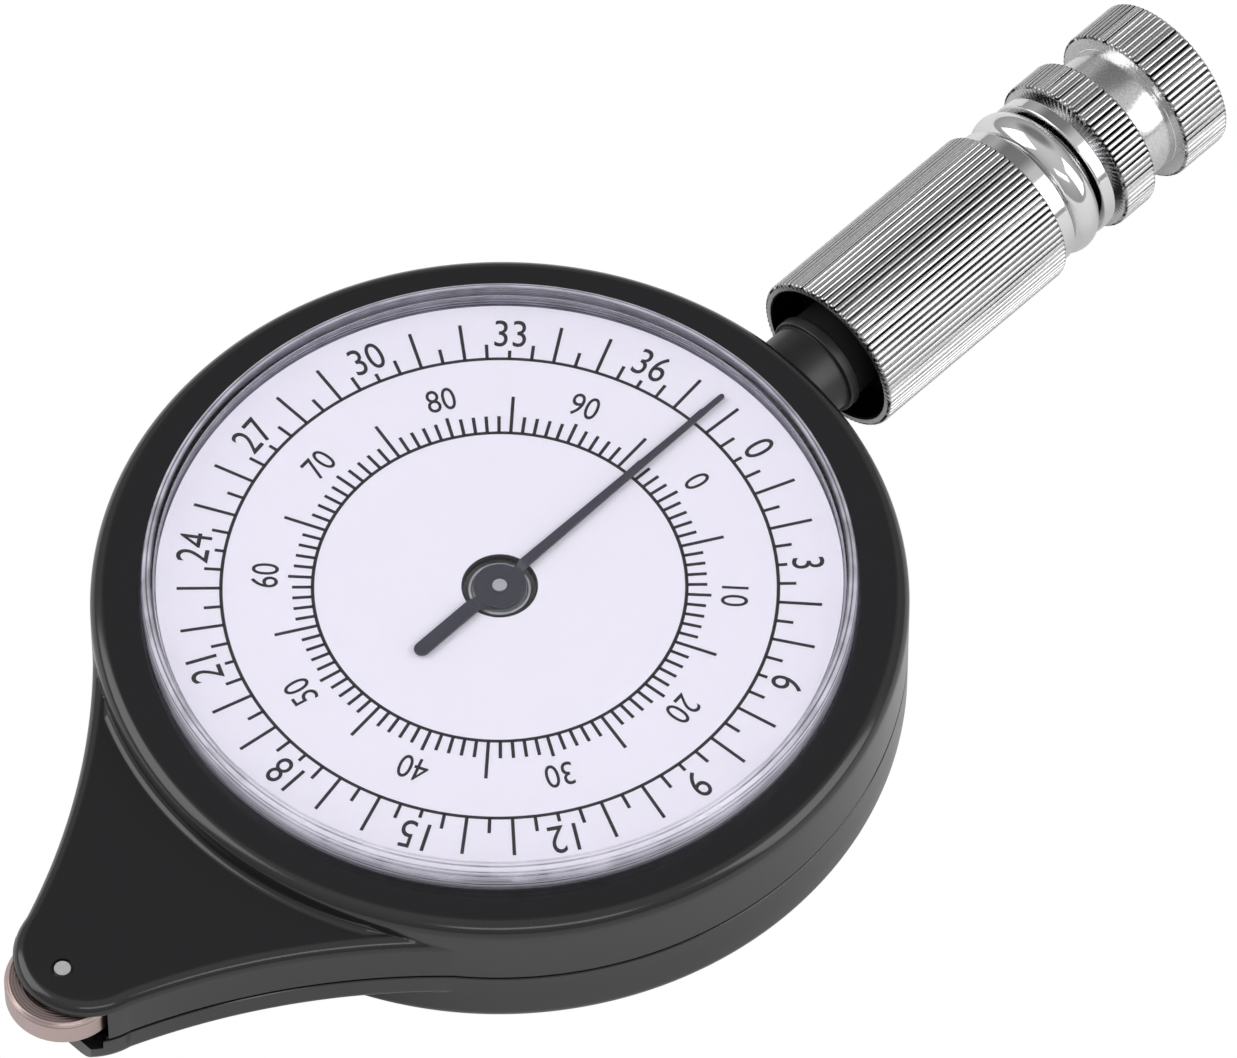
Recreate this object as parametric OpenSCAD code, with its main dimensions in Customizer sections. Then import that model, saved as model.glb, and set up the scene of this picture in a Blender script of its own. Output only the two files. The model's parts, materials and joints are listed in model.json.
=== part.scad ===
// Opisometer: a hand-held map measurer. A tracing wheel at the tip of the tail drives a
// pointer over a round dial through three pairs of spur gears, fifty wheel turns to one
// turn of the pointer. A knurled metal handle sits on a stem on the far side of the case.
// Millimetres. +Z is up out of the dial, +Y runs from the dial to the handle, and the
// origin is the centre of the flat rear face, on the dial's axis.

/* [Case] */
// Radius of the round drum
case_r = 22.4; // [21.5:0.1:28]
// Thickness of the outer walls
wall = 1.2; // [0.9:0.1:1.5]
// Thickness of the drum's rear wall
rear_wall = 1.0; // [0.7:0.1:1.8]
// Radius of the rounded rear edge
rear_edge_r = 1.1; // [0.4:0.1:1.3]
// Height of the seam between the two shells
seam_z = 4.4; // [4.0:0.1:4.6]
// Depth of the groove that marks the seam
seam_groove = 0.16; // [0.05:0.01:0.3]
// Height of the groove that marks the seam
seam_gap = 0.14; // [0.05:0.01:0.3]
// Height of the flat top of the bezel
bezel_z = 9.0; // [8.8:0.1:9.4]
// Thickness of the bezel's lip over the crystal's flange
bezel_lip = 0.9; // [0.5:0.1:1.1]
// Radius of the bezel's rounded shoulder
shoulder_r = 0.9; // [0.3:0.1:1.2]

/* [Tail] */
// Radius of the concave flank on each side of the tail
flank_r = 42; // [34:0.5:50]
// Radius of the round tip
tip_r = 4.05; // [3.8:0.05:4.2]
// How far the tip's centre lies behind the wheel's axle
tip_setback = 1.9; // [1.4:0.1:2.0]
// Height of the tail's top face
tail_top_z = 7.5; // [7.4:0.1:8.0]
// Height of the tail's underside
tail_under_z = 2.4; // [1.6:0.1:2.5]
// Thickness of the tail's side walls
tail_wall = 0.9; // [0.6:0.1:1.0]
// Thickness of the tail's top and bottom walls
tail_plate = 0.7; // [0.5:0.05:0.75]
// Radius of the tail's rounded upper edge
tail_edge_r = 0.75; // [0.3:0.05:1.0]
// Radius of the tail's rounded lower edge
tail_under_r = 0.6; // [0.2:0.05:0.8]
// Radius of the fillet where the tail's top meets the drum
tail_fillet_r = 0.5; // [0.2:0.05:0.8]
// How far the rear shell runs past the wheel's axle
rear_tip_run = 0.9; // [0.8:0.1:1.4]

/* [Crystal and dial] */
// Width of the bezel from the drum's side to its round opening
bezel_w = 2.75; // [2.7:0.05:3.5]
// Wall of the crystal's skirt
crystal_wall = 0.6; // [0.4:0.05:0.8]
// Thickness of the crystal's clear top
crystal_top = 0.8; // [0.5:0.1:0.9]
// How far the crystal stands above the bezel
crystal_proud = 1.6; // [1.5:0.1:2.2]
// Radius of the crystal's rounded upper edge
crystal_edge_r = 0.45; // [0.1:0.05:0.5]
// How far the crystal's flange reaches under the bezel's lip
crystal_flange = 0.95; // [0.6:0.05:1.0]
// Thickness of the crystal's flange
crystal_flange_h = 0.6; // [0.4:0.05:0.7]
// Height of the dial's printed face
dial_z = 8.85; // [8.75:0.05:9.1]
// Thickness of the dial plate
dial_h = 0.4; // [0.3:0.05:0.6]
// Thickness of the moulded dial carrier
carrier_h = 0.6; // [0.4:0.05:0.7]
// Width of the rim that the dial plate rests on
carrier_rim_w = 1.3; // [0.8:0.1:2]
// Radius of the carrier's raised centre
carrier_boss_r = 1.6; // [1.4:0.05:1.7]
// Radius of the hole in the middle of the dial
dial_hole_r = 2.0; // [1.95:0.01:2.2]
// Radius of the metal eyelet in the dial's hole
eyelet_r = 1.74; // [1.6:0.02:1.84]
// Thickness of the eyelet's flange
eyelet_h = 0.15; // [0.1:0.01:0.2]
// Outer radius of the eyelet's barrel
eyelet_barrel_r = 1.0; // [0.7:0.05:1.3]

/* [Pointer] */
// Gap between the pointer's tip and the crystal's skirt
pointer_tip_gap = 1.35; // [1:0.05:6]
// Width of the pointer at its hub
pointer_root_w = 0.68; // [0.5:0.02:1]
// Width of the pointer at its tip
pointer_tip_w = 0.33; // [0.26:0.01:0.6]
// Reach of the counterweight end
pointer_tail_len = 6.47; // [4:0.1:9]
// Width of the counterweight end
pointer_tail_w = 0.9; // [0.5:0.02:1.2]
// Radius of the pointer's hub disc
pointer_hub_r = 1.46; // [1.2:0.02:1.5]
// Thickness of the pointer
pointer_h = 0.15; // [0.1:0.01:0.2]
// How far the pointer's arms stand above its pressed-down hub
pointer_lift = 0.25; // [0.2:0.01:0.4]
// Length over which each arm rises from the hub
pointer_bend = 0.42; // [0.3:0.02:0.44]
// Gap between the eyelet and the collar under the pointer
pointer_gap = 0.05; // [0.02:0.01:0.08]
// Thickness of the collar under the pointer
collar_h = 0.1; // [0.06:0.01:0.15]
// Radius of the collar under the pointer
collar_r = 0.9; // [0.7:0.05:1.2]
// Direction that the pointer rests in, anticlockwise from the handle
pointer_rest_deg = 0.3; // [0:0.1:359]

/* [Tracing wheel] */
// Distance that one turn of the wheel covers on the map
wheel_circumference = 20; // [18:0.1:20.5]
// Thickness of the wheel
wheel_h = 1.8; // [1:0.1:1.9]
// Chamfer on the wheel's two rims
wheel_chamfer = 0.25; // [0.05:0.05:0.4]
// Gap above the wheel, where its washer lies
wheel_gap = 0.2; // [0.12:0.01:0.3]
// Gap round the wheel in its slot
wheel_slot_gap = 0.35; // [0.2:0.05:0.45]
// Radius of the steel axle pin
axle_r = 0.45; // [0.35:0.01:0.6]
// Radius of the recess round the pin's end
axle_recess_r = 0.62; // [0.55:0.01:0.8]
// Depth of the recess round the pin's end
axle_recess_h = 0.25; // [0.1:0.05:0.35]

/* [Gear train] */
// Teeth on each pinion
pinion_teeth = 12; // [12:1:13]
// Teeth on the first gear
first_teeth = 24; // [22:1:26]
// Teeth on the second gear and the centre gear
large_teeth = 60; // [58:1:62]
// Module of the first pair, as a share of the drum's radius
first_module_share = 0.0139; // [0.0134:0.0001:0.0147]
// Module of the second pair, as a share of the drum's radius
second_module_share = 0.01305; // [0.0125:0.00005:0.0138]
// Module of the third pair, as a share of the drum's radius
third_module_share = 0.02135; // [0.0208:0.00005:0.0223]
// Face width of the gears
gear_h = 0.6; // [0.3:0.05:0.7]
// Pressure angle of the teeth
pressure_deg = 25; // [22:1:28]
// Backlash, as a share of the module
backlash = 0.16; // [0.1:0.01:0.25]
// Tooth height above the pitch circle, in modules
addendum = 0.8; // [0.7:0.05:0.9]
// Tooth depth below the pitch circle, in modules
dedendum = 1.15; // [1.05:0.05:1.25]
// Radius of the gear arbors
arbor_r = 0.4; // [0.3:0.01:0.45]
// Radial running clearance of arbors and pin
run_gap = 0.03; // [0.02:0.005:0.05]
// Gap between one gear layer and the next
layer_gap = 0.35; // [0.3:0.05:0.5]
// Height of the lower gear layer
lower_gear_z = 4.0; // [3.95:0.05:4.1]

/* [Movement] */
// Thickness of the movement's rear plate
plate_h = 0.7; // [0.5:0.05:0.9]
// Height of the movement plate's lower face
plate_z = 3.0; // [2.9:0.05:3.1]
// Width of the movement plate's arms
arm_w = 3.2; // [2.4:0.1:4]
// Radius of the movement plate round its bushes
plate_eye_r = 3.0; // [2.4:0.1:4]
// Radius of the pillars
pillar_r = 1.3; // [1.0:0.1:1.5]
// Radius of the spigots that seat the pillars in the carrier
spigot_r = 0.6; // [0.4:0.05:0.8]
// Angle of the two pillars on the handle side, from +X
pillar_far_deg = 60; // [50:1:66]
// Angle of the two pillars on the tail side, below X
pillar_near_deg = 49; // [47:1:51]
// How far the circle of the pillars' middles lies inside the carrier's edge
pillar_inset = 3.1; // [3.0:0.1:3.4]
// Radius of the movement screws' shanks
screw_r = 0.5; // [0.4:0.05:0.6]
// Radius of the movement screws' heads
screw_head_r = 1.0; // [0.8:0.05:1.2]
// Height of the movement screws' heads
screw_head_h = 0.6; // [0.4:0.05:0.8]
// Length of the movement screws' shanks
screw_len = 2.4; // [1.6:0.1:3]
// Radius of the plate's brass bushes
bush_r = 1.1; // [0.9:0.05:1.3]
// Height of the bosses that carry the first arbor
pivot_boss_h = 0.3; // [0.2:0.05:0.4]
// Radius of the posts that hold the carrier up
post_r = 1.1; // [0.8:0.1:1.3]

/* [Stem] */
// Height of the handle's axis
handle_z = 5.05; // [5.0:0.05:5.15]
// Radius of the black stem outside the case
stem_r = 2.74; // [2.4:0.02:3.0]
// Radius of the stem's neck in the case wall
stem_neck_r = 2.0; // [1.7:0.05:2.1]
// Radius of the stem's flange inside the case
stem_flange_r = 2.55; // [2.3:0.05:2.6]
// Thickness of the stem's flange inside the case
stem_flange_h = 1.4; // [1.0:0.1:1.6]
// How far the stem runs past the case
stem_run = 8.6; // [7:0.1:10]
// Radius of the raised ring on the stem
stem_ring_r = 3.0; // [2.9:0.05:3.3]
// How far the raised ring starts from the case
stem_ring_at = 2.2; // [1.2:0.1:2.6]
// Width of the raised ring on the stem
stem_ring_w = 0.7; // [0.4:0.1:1]
// Radius of the stem screw's shank
stem_screw_r = 0.9; // [0.7:0.05:1.1]
// Radius of the stem screw's head
stem_screw_head_r = 1.9; // [1.6:0.1:2.2]
// Height of the stem screw's head
stem_screw_head_h = 1.2; // [0.8:0.1:1.4]

/* [Handle] */
// Outer radius of the knurled sleeve
sleeve_r = 4.86; // [4.7:0.02:4.9]
// Wall of the sleeve
sleeve_wall = 0.55; // [0.4:0.05:0.7]
// Gap between the case and the sleeve's open end
sleeve_gap = 3.4; // [3:0.1:5]
// Length of the sleeve
sleeve_len = 14.3; // [12:0.1:20]
// How deep the liner lies inside the sleeve's open end
liner_depth = 2.4; // [1.4:0.1:4]
// Thickness of the liner's web under the stem screw's head
liner_web = 0.8; // [0.5:0.1:1.2]
// Radius of the first smooth disc of the collar
disc_r = 4.4; // [4.2:0.01:4.6]
// Width of the first disc
disc_w = 1.15; // [0.8:0.05:1.6]
// Largest radius of the barrel-shaped bead
bead_r = 4.62; // [4.4:0.01:4.7]
// Smallest radius of the bead, at its ends
bead_end_r = 3.75; // [3.5:0.01:3.9]
// Width of the bead
bead_w = 2.2; // [1.6:0.1:3]
// Width of the second disc
disc_b_w = 0.85; // [0.6:0.05:1.2]
// Radius at the bottom of the collar's grooves
groove_r = 3.4; // [3:0.05:3.7]
// Width of the groove beside the bead
groove_w = 0.12; // [0.08:0.01:0.3]
// Width of the groove before the knurled ring
ring_groove_w = 0.45; // [0.3:0.05:0.8]
// Length of the collar's spigot in the sleeve
collar_spigot = 3.2; // [2:0.1:5]
// Radius of the collar's shank under the knurled ring
shank_r = 2.5; // [2:0.1:3]
// Outer radius of the knurled ring
ring_r = 4.84; // [4.6:0.02:4.9]
// Width of the knurled ring
ring_w = 2.4; // [1.8:0.1:3.2]
// Radius of the end knob's smooth neck
neck_r = 3.95; // [3.6:0.02:4.2]
// Length of the end knob's neck
neck_len = 2.45; // [1.8:0.1:3.2]
// Outer radius of the end knob
knob_r = 4.84; // [4.6:0.02:4.9]
// Width of the end knob's knurled part
knob_w = 3.35; // [2.6:0.1:4.5]
// Radius of the knob screw's shank
knob_screw_r = 1.0; // [0.8:0.05:1.2]
// Radius of the knob screw's head
knob_screw_head_r = 1.8; // [1.6:0.1:2.2]
// Height of the knob screw's head
knob_screw_head_h = 0.9; // [0.6:0.1:1.2]
// Depth of the knob screw's thread in the collar
knob_thread = 4; // [2.5:0.1:6]
// Width of the slot in each screw head
slot_w = 0.4; // [0.2:0.05:0.5]
// Depth of the slot in each screw head
slot_depth = 0.3; // [0.15:0.05:0.35]
// Ridges in the knurling round the handle
knurl_count = 84; // [60:2:100]
// Depth of the knurling
knurl_depth = 0.13; // [0.08:0.01:0.16]
// Plain land at each end of a knurled band
knurl_land = 0.2; // [0.1:0.05:0.4]
// Axial play of the turning handle parts
end_play = 0.05; // [0.03:0.01:0.08]

/* [Hidden] */

// A cut runs this far past the face that it opens
over = 0.5;
// A seat or hole is wider than the piece in it by this much on each side
seat_gap = 0.02;
// A piece that drops into a larger one has this much room on each side
drop_gap = 0.1;
// Facets of a full circle
round_fn = 96;

// Modules of the three pairs, and the distances between the axes from the pitch circles
module_first = case_r * first_module_share;
module_second = case_r * second_module_share;
module_third = case_r * third_module_share;
first_pitch_gap = module_first * (pinion_teeth + first_teeth) / 2;
second_pitch_gap = module_second * (pinion_teeth + large_teeth) / 2;
third_pitch_gap = module_third * (pinion_teeth + large_teeth) / 2;
second_y = -third_pitch_gap;
first_y = second_y - second_pitch_gap;
wheel_y = first_y - first_pitch_gap;
wheel_r = wheel_circumference / (2 * PI);
pivot_r = arbor_r + run_gap;

// Tail outline: each flank is one arc that runs into both the drum and the round tip, a
// little past the point where it would only touch them
flank_bite = 0.06;
tip_y = wheel_y + tip_setback;
drum_reach = case_r + flank_r - flank_bite;
tip_reach = tip_r + flank_r - flank_bite;
flank_y = (pow(drum_reach, 2) - pow(tip_reach, 2) + pow(tip_y, 2)) / (2 * tip_y);
flank_x = sqrt(pow(drum_reach, 2) - pow(flank_y, 2));
drum_touch = [flank_x, flank_y] * case_r / drum_reach;
tip_touch = [0, tip_y] + [flank_x, flank_y - tip_y] * tip_r / tip_reach;
flank_chord = (drum_touch - tip_touch) / norm(drum_touch - tip_touch);
block_far = drum_touch + flank_chord * over;
block_near = tip_touch - flank_chord * over;

// Heights of the layers, from the seam up
tail_ceiling_z = tail_top_z - tail_plate;
tail_floor_z = tail_under_z + tail_plate;
cavity_r = case_r - wall;
lip_z = bezel_z - bezel_lip;
opening_r = case_r - bezel_w;
crystal_r = opening_r - drop_gap;
crystal_top_z = bezel_z + crystal_proud;
crystal_inner_r = crystal_r - crystal_wall;
crystal_flange_r = crystal_r + crystal_flange;
flange_z = lip_z - crystal_flange_h;
carrier_z = flange_z - carrier_h;
carrier_r = crystal_flange_r;
dial_r = crystal_inner_r - drop_gap;
pointer_len = crystal_inner_r - pointer_tip_gap;
dial_seat_z = dial_z - dial_h;
upper_gear_z = lower_gear_z + gear_h + 2 * layer_gap + drop_gap;
plate_top_z = plate_z + plate_h;
wheel_z = tail_ceiling_z - wheel_gap - wheel_h;
washer_h = wheel_gap - end_play;
pinion_z = lower_gear_z - drop_gap;
eyelet_top_z = dial_seat_z + eyelet_h;
collar_z = eyelet_top_z + pointer_gap;
pointer_z = collar_z + collar_h;
arbor_top_z = pointer_z + pointer_h + end_play;

// Pillars and posts
pillar_circle_r = carrier_r - pillar_inset;
pillar_angles = [pillar_far_deg, 180 - pillar_far_deg, 180 + pillar_near_deg, -pillar_near_deg];
post_angles = [10, 170, 210, 330];
post_circle_r = carrier_r - post_r - drop_gap;

// Stations along the handle, from the case outwards
stem_y = case_r + end_play;
stem_end_y = stem_y + stem_run;
stem_flange_y = cavity_r - drop_gap - stem_flange_h;
sleeve_y = case_r + sleeve_gap;
sleeve_bore = sleeve_r - sleeve_wall;
sleeve_end_y = sleeve_y + sleeve_len;
liner_y = sleeve_y + liner_depth;
web_y = stem_end_y + end_play;
screw_seat_y = web_y + liner_web + end_play;
disc_end_y = sleeve_end_y + disc_w;
bead_y = disc_end_y + groove_w;
bead_end_y = bead_y + bead_w;
disc_b_y = bead_end_y + groove_w;
disc_b_end_y = disc_b_y + disc_b_w;
ring_y = disc_b_end_y + ring_groove_w;
ring_end_y = ring_y + ring_w;
neck_y = ring_end_y + end_play;
knob_y = neck_y + neck_len;
knob_end_y = knob_y + knob_w;
knob_head_y = knob_end_y - knob_screw_head_h;

// Lays a shape that is drawn along +Z along the handle's axis, starting at station y
module on_handle(y) {
    translate([0, y, handle_z]) rotate([-90, 0, 0]) children();
}

// Plain tube or disc; r_in of zero leaves it solid
module tube(r_out, r_in, h) {
    difference() {
        cylinder(r = r_out, h = h, $fn = round_fn);
        if (r_in > 0) translate([0, 0, -over]) cylinder(r = r_in, h = h + 2 * over, $fn = round_fn);
    }
}

// Straight-sided block that the tail is cut from, from the drum's middle to the tip's
module tail_blank(z_low, z_high) {
    translate([0, 0, z_low]) linear_extrude(z_high - z_low) polygon([[0, 0], block_far, block_near,
        [0, tip_y], [-block_near[0], block_near[1]], [-block_far[0], block_far[1]]]);
}

// Prism between the two flanks, drawn in by inset, without its tip
module tail_prism(z_low, z_high, inset) {
    difference() {
        tail_blank(z_low, z_high);
        for (side = [-1, 1]) translate([side * flank_x, flank_y, z_low - over])
            cylinder(r = flank_r + inset, h = z_high - z_low + 2 * over, $fn = 2 * round_fn);
    }
}

// Whole plan of the case, drum and tail, as one straight-sided block
module case_block(z_low, z_high, drum_inset, tail_inset) {
    translate([0, 0, z_low]) cylinder(r = case_r - drum_inset, h = z_high - z_low, $fn = 2 * round_fn);
    tail_prism(z_low, z_high, tail_inset);
    translate([0, tip_y, z_low]) cylinder(r = tip_r - tail_inset, h = z_high - z_low, $fn = round_fn);
}

// Section of a round block from z_low to z_high whose edge at z_high is rounded by edge_r
module rounded_section(r, z_low, z_high, edge_r) {
    intersection() {
        union() {
            translate([0, z_low]) square([r, z_high - z_low - edge_r]);
            translate([0, z_low]) square([r - edge_r, z_high - z_low]);
            translate([r - edge_r, z_high - edge_r]) circle(r = edge_r, $fn = 48);
        }
        translate([0, z_low]) square([r, z_high - z_low]);
    }
}

// Tool that cuts one flank from z_low up and rounds the tail's edge below z_high
module flank_cutter(z_low, z_high, edge_r) {
    rotate_extrude($fn = 2 * round_fn) difference() {
        translate([0, z_low - over]) square([flank_r + edge_r, z_high - z_low + over]);
        translate([flank_r, z_low - 2 * over]) square([2 * edge_r, z_high - z_low + 2 * over - edge_r]);
        translate([flank_r + edge_r, z_high - edge_r]) circle(r = edge_r, $fn = 48);
    }
}

// Solid tail with a rounded upper edge
module rounded_tail(z_low, z_high, edge_r) {
    difference() {
        tail_blank(z_low, z_high);
        for (side = [-1, 1]) translate([side * flank_x, flank_y, 0]) flank_cutter(z_low, z_high, edge_r);
    }
    translate([0, tip_y, 0]) rotate_extrude($fn = round_fn)
        rounded_section(tip_r, z_low, z_high, edge_r);
}

// Round fillet where the bezel's wall meets the tail's top face
module tail_root_fillet() {
    intersection() {
        rotate_extrude($fn = 2 * round_fn) difference() {
            translate([case_r - wall / 2, tail_top_z - tail_plate / 2])
                square([wall / 2 + tail_fillet_r, tail_plate / 2 + tail_fillet_r]);
            translate([case_r + tail_fillet_r, tail_top_z + tail_fillet_r])
                circle(r = tail_fillet_r, $fn = 48);
        }
        tail_prism(tail_under_z, bezel_z, tail_edge_r);
    }
}

// Hole for the stem's neck, open downwards as far as the seam so that the shells close on it
module stem_hole() {
    neck_hole_r = stem_neck_r + seat_gap;
    on_handle(cavity_r - over) cylinder(r = neck_hole_r, h = wall + 2 * over, $fn = round_fn);
    translate([-neck_hole_r, cavity_r - over, seam_z - over])
        cube([2 * neck_hole_r, wall + 2 * over, handle_z - seam_z + over]);
}

// Slot that the tracing wheel turns in, open at the tip
module wheel_slot(z_low, z_high) {
    translate([0, wheel_y, z_low])
        cylinder(r = wheel_r + wheel_slot_gap, h = z_high - z_low, $fn = round_fn);
}

// Upper half of the case: the bezel, the drum's upper wall and the tail's top
module front_shell() {
    color("#2a2a2c") difference() {
        union() {
            rotate_extrude($fn = 2 * round_fn) rounded_section(case_r, seam_z, bezel_z, shoulder_r);
            rounded_tail(seam_z, tail_top_z, tail_edge_r);
            tail_root_fillet();
        }
        translate([0, 0, seam_z - over])
            cylinder(r = cavity_r, h = lip_z - seam_z + over, $fn = 2 * round_fn);
        translate([0, 0, lip_z - over]) cylinder(r = opening_r, h = bezel_lip + 2 * over, $fn = 2 * round_fn);
        difference() {
            case_block(seam_z - over, tail_ceiling_z, wall, tail_wall);
            pivot_boss(tail_ceiling_z - pivot_boss_h, tail_ceiling_z);
        }
        wheel_slot(seam_z - over, tail_ceiling_z);
        translate([0, wheel_y, tail_ceiling_z - over])
            cylinder(r = axle_r + seat_gap, h = tail_plate + 2 * over, $fn = round_fn);
        translate([0, wheel_y, tail_top_z - axle_recess_h])
            cylinder(r = axle_recess_r, h = axle_recess_h + over, $fn = round_fn);
        translate([0, first_y, tail_ceiling_z - over])
            cylinder(r = pivot_r, h = over + tail_plate / 2, $fn = round_fn);
        stem_hole();
    }
}

// Small boss on the tail's wall that carries the first arbor's pivot
module pivot_boss(z_low, z_high) {
    translate([0, first_y, z_low]) cylinder(r = 2 * arbor_r, h = z_high - z_low, $fn = round_fn);
}

// Lower half of the case: the rear face, the tail's underside and the posts
module rear_shell() {
    color("#262628") difference() {
        union() {
            difference() {
                union() {
                    mirror([0, 0, 1]) rotate_extrude($fn = 2 * round_fn)
                        rounded_section(case_r, seam_gap - seam_z, 0, rear_edge_r);
                    mirror([0, 0, 1]) rounded_tail(seam_gap - seam_z, -tail_under_z, tail_under_r);
                    case_block(seam_z - 2 * seam_gap, seam_z, seam_groove, seam_groove);
                }
                translate([0, 0, rear_wall])
                    cylinder(r = cavity_r, h = seam_z - rear_wall + over, $fn = 2 * round_fn);
                case_block(tail_floor_z, seam_z + over, wall, tail_wall);
            }
            for (a = post_angles) rotate(a) translate([post_circle_r, 0, rear_wall / 2])
                cylinder(r = post_r, h = carrier_z - rear_wall / 2, $fn = round_fn);
            pivot_boss(tail_under_z + tail_plate / 2, tail_floor_z + pivot_boss_h);
            translate([0, wheel_y, tail_under_z + tail_plate / 2])
                cylinder(r = 2 * arbor_r, h = pinion_z - washer_h - end_play - tail_under_z - tail_plate / 2,
                    $fn = round_fn);
        }
        wheel_slot(tail_floor_z + over, seam_z + over);
        translate([-case_r, wheel_y - rear_tip_run - case_r, -over])
            cube([2 * case_r, case_r, seam_z + 2 * over]);
        translate([0, wheel_y, tail_under_z + tail_plate / 2])
            cylinder(r = axle_r + seat_gap, h = seam_z, $fn = round_fn);
        translate([0, first_y, tail_under_z + tail_plate / 2])
            cylinder(r = pivot_r, h = seam_z, $fn = round_fn);
        stem_hole();
    }
}

// Clear cap over the dial, held by its flange under the bezel's lip
module crystal() {
    color("#e6f0f8", 0.35) rotate_extrude($fn = 2 * round_fn) difference() {
        union() {
            rounded_section(crystal_r, flange_z, crystal_top_z, crystal_edge_r);
            translate([0, flange_z]) square([crystal_flange_r, crystal_flange_h]);
        }
        translate([-over, flange_z - over])
            square([crystal_inner_r + over, crystal_top_z - crystal_top - flange_z + over]);
    }
}

// Dial plate that carries the two printed scales
module dial_plate() {
    color("#f0f0f8") translate([0, 0, dial_seat_z]) tube(dial_r, dial_hole_r, dial_h);
}

// Metal eyelet sunk in the dial's hole, the upper bearing of the pointer's arbor
module dial_eyelet() {
    color("#c8c8cc") difference() {
        union() {
            translate([0, 0, dial_seat_z]) cylinder(r = eyelet_r, h = eyelet_h, $fn = round_fn);
            translate([0, 0, carrier_z]) cylinder(r = eyelet_barrel_r, h = eyelet_top_z - carrier_z,
                $fn = round_fn);
        }
        translate([0, 0, carrier_z - over]) cylinder(r = pivot_r, h = eyelet_top_z - carrier_z + 2 * over,
            $fn = round_fn);
    }
}

// Moulded carrier under the dial, the upper plate of the movement
module dial_carrier() {
    rim_r = dial_r - drop_gap;
    color("#d8d8d2") difference() {
        union() {
            translate([0, 0, carrier_z]) cylinder(r = carrier_r, h = carrier_h, $fn = 2 * round_fn);
            translate([0, 0, flange_z]) tube(rim_r, rim_r - carrier_rim_w, dial_seat_z - flange_z);
            translate([0, 0, flange_z]) cylinder(r = carrier_boss_r, h = dial_seat_z - flange_z,
                $fn = round_fn);
        }
        translate([0, 0, carrier_z - over]) cylinder(r = eyelet_barrel_r + seat_gap,
            h = dial_seat_z - carrier_z + 2 * over, $fn = round_fn);
        translate([0, second_y, carrier_z - over]) cylinder(r = pivot_r, h = over + carrier_h,
            $fn = round_fn);
        for (a = pillar_angles) rotate(a) translate([pillar_circle_r, 0, carrier_z - over])
            cylinder(r = spigot_r + seat_gap, h = over + carrier_h + drop_gap, $fn = round_fn);
        translate([-stem_flange_r - drop_gap, stem_flange_y - drop_gap, carrier_z - over])
            cube([2 * (stem_flange_r + drop_gap), case_r, over + carrier_h]);
    }
}

// Straight arm from the centre to a point at radius r and angle a
module plate_arm(r, a) {
    rotate(a) translate([0, -arm_w / 2, plate_z]) cube([r, arm_w, plate_h]);
    rotate(a) translate([r, 0, plate_z]) cylinder(r = arm_w / 2, h = plate_h, $fn = round_fn);
}

// Rear plate of the movement, five arms round the centre
module movement_plate() {
    color("#c9a95a") difference() {
        union() {
            translate([0, 0, plate_z]) cylinder(r = plate_eye_r, h = plate_h, $fn = round_fn);
            translate([0, second_y, plate_z]) cylinder(r = plate_eye_r, h = plate_h, $fn = round_fn);
            plate_arm(-second_y, -90);
            for (a = pillar_angles) plate_arm(pillar_circle_r, a);
        }
        for (y = [0, second_y]) translate([0, y, plate_z - over])
            cylinder(r = bush_r, h = plate_h + 2 * over, $fn = round_fn);
        for (a = pillar_angles) rotate(a) translate([pillar_circle_r, 0, plate_z - over])
            cylinder(r = screw_r + seat_gap, h = plate_h + 2 * over, $fn = round_fn);
    }
}

// Four pillars between the rear plate and the carrier
module movement_pillars() {
    color("#b8b8bc") for (a = pillar_angles) rotate(a) translate([pillar_circle_r, 0, 0]) difference() {
        union() {
            translate([0, 0, plate_top_z])
                cylinder(r = pillar_r, h = carrier_z - plate_top_z, $fn = round_fn);
            translate([0, 0, plate_top_z]) cylinder(r = spigot_r, h = flange_z - plate_top_z, $fn = round_fn);
        }
        translate([0, 0, plate_top_z - over])
            cylinder(r = screw_r, h = screw_len - plate_h + drop_gap + over, $fn = round_fn);
    }
}

// Screw along +Z with its slotted head below z = 0
module slotted_screw(shank_radius, shank_len, head_radius, head_h) {
    difference() {
        union() {
            cylinder(r = shank_radius, h = shank_len, $fn = round_fn);
            translate([0, 0, -head_h]) cylinder(r = head_radius, h = head_h, $fn = round_fn);
        }
        translate([-head_radius - over, -slot_w / 2, -head_h - over])
            cube([2 * (head_radius + over), slot_w, slot_depth + over]);
    }
}

// Four screws that hold the rear plate to the pillars
module movement_screws() {
    color("#a8a8ac") for (a = pillar_angles) rotate(a) translate([pillar_circle_r, 0, plate_z])
        slotted_screw(screw_r, screw_len, screw_head_r, screw_head_h);
}

// Brass bush that carries an arbor in the rear plate
module plate_bush(y) {
    color("#c8a048") translate([0, y, plate_z]) tube(bush_r, pivot_r, plate_h);
}

module centre_bush() {
    plate_bush(0);
}

module second_bush() {
    plate_bush(second_y);
}

// Involute of an angle in degrees, as an angle in degrees
function involute(a) = tan(a) * 180 / PI - a;

// Half of a tooth's thickness at radius r, as an angle in degrees
function half_tooth(r, base_r, pitch_r, teeth) =
    90 / teeth - backlash * (2 * pitch_r / teeth) / (2 * pitch_r) * 180 / PI / 2
    + involute(pressure_deg) - involute(acos(min(1, base_r / r)));

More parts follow.
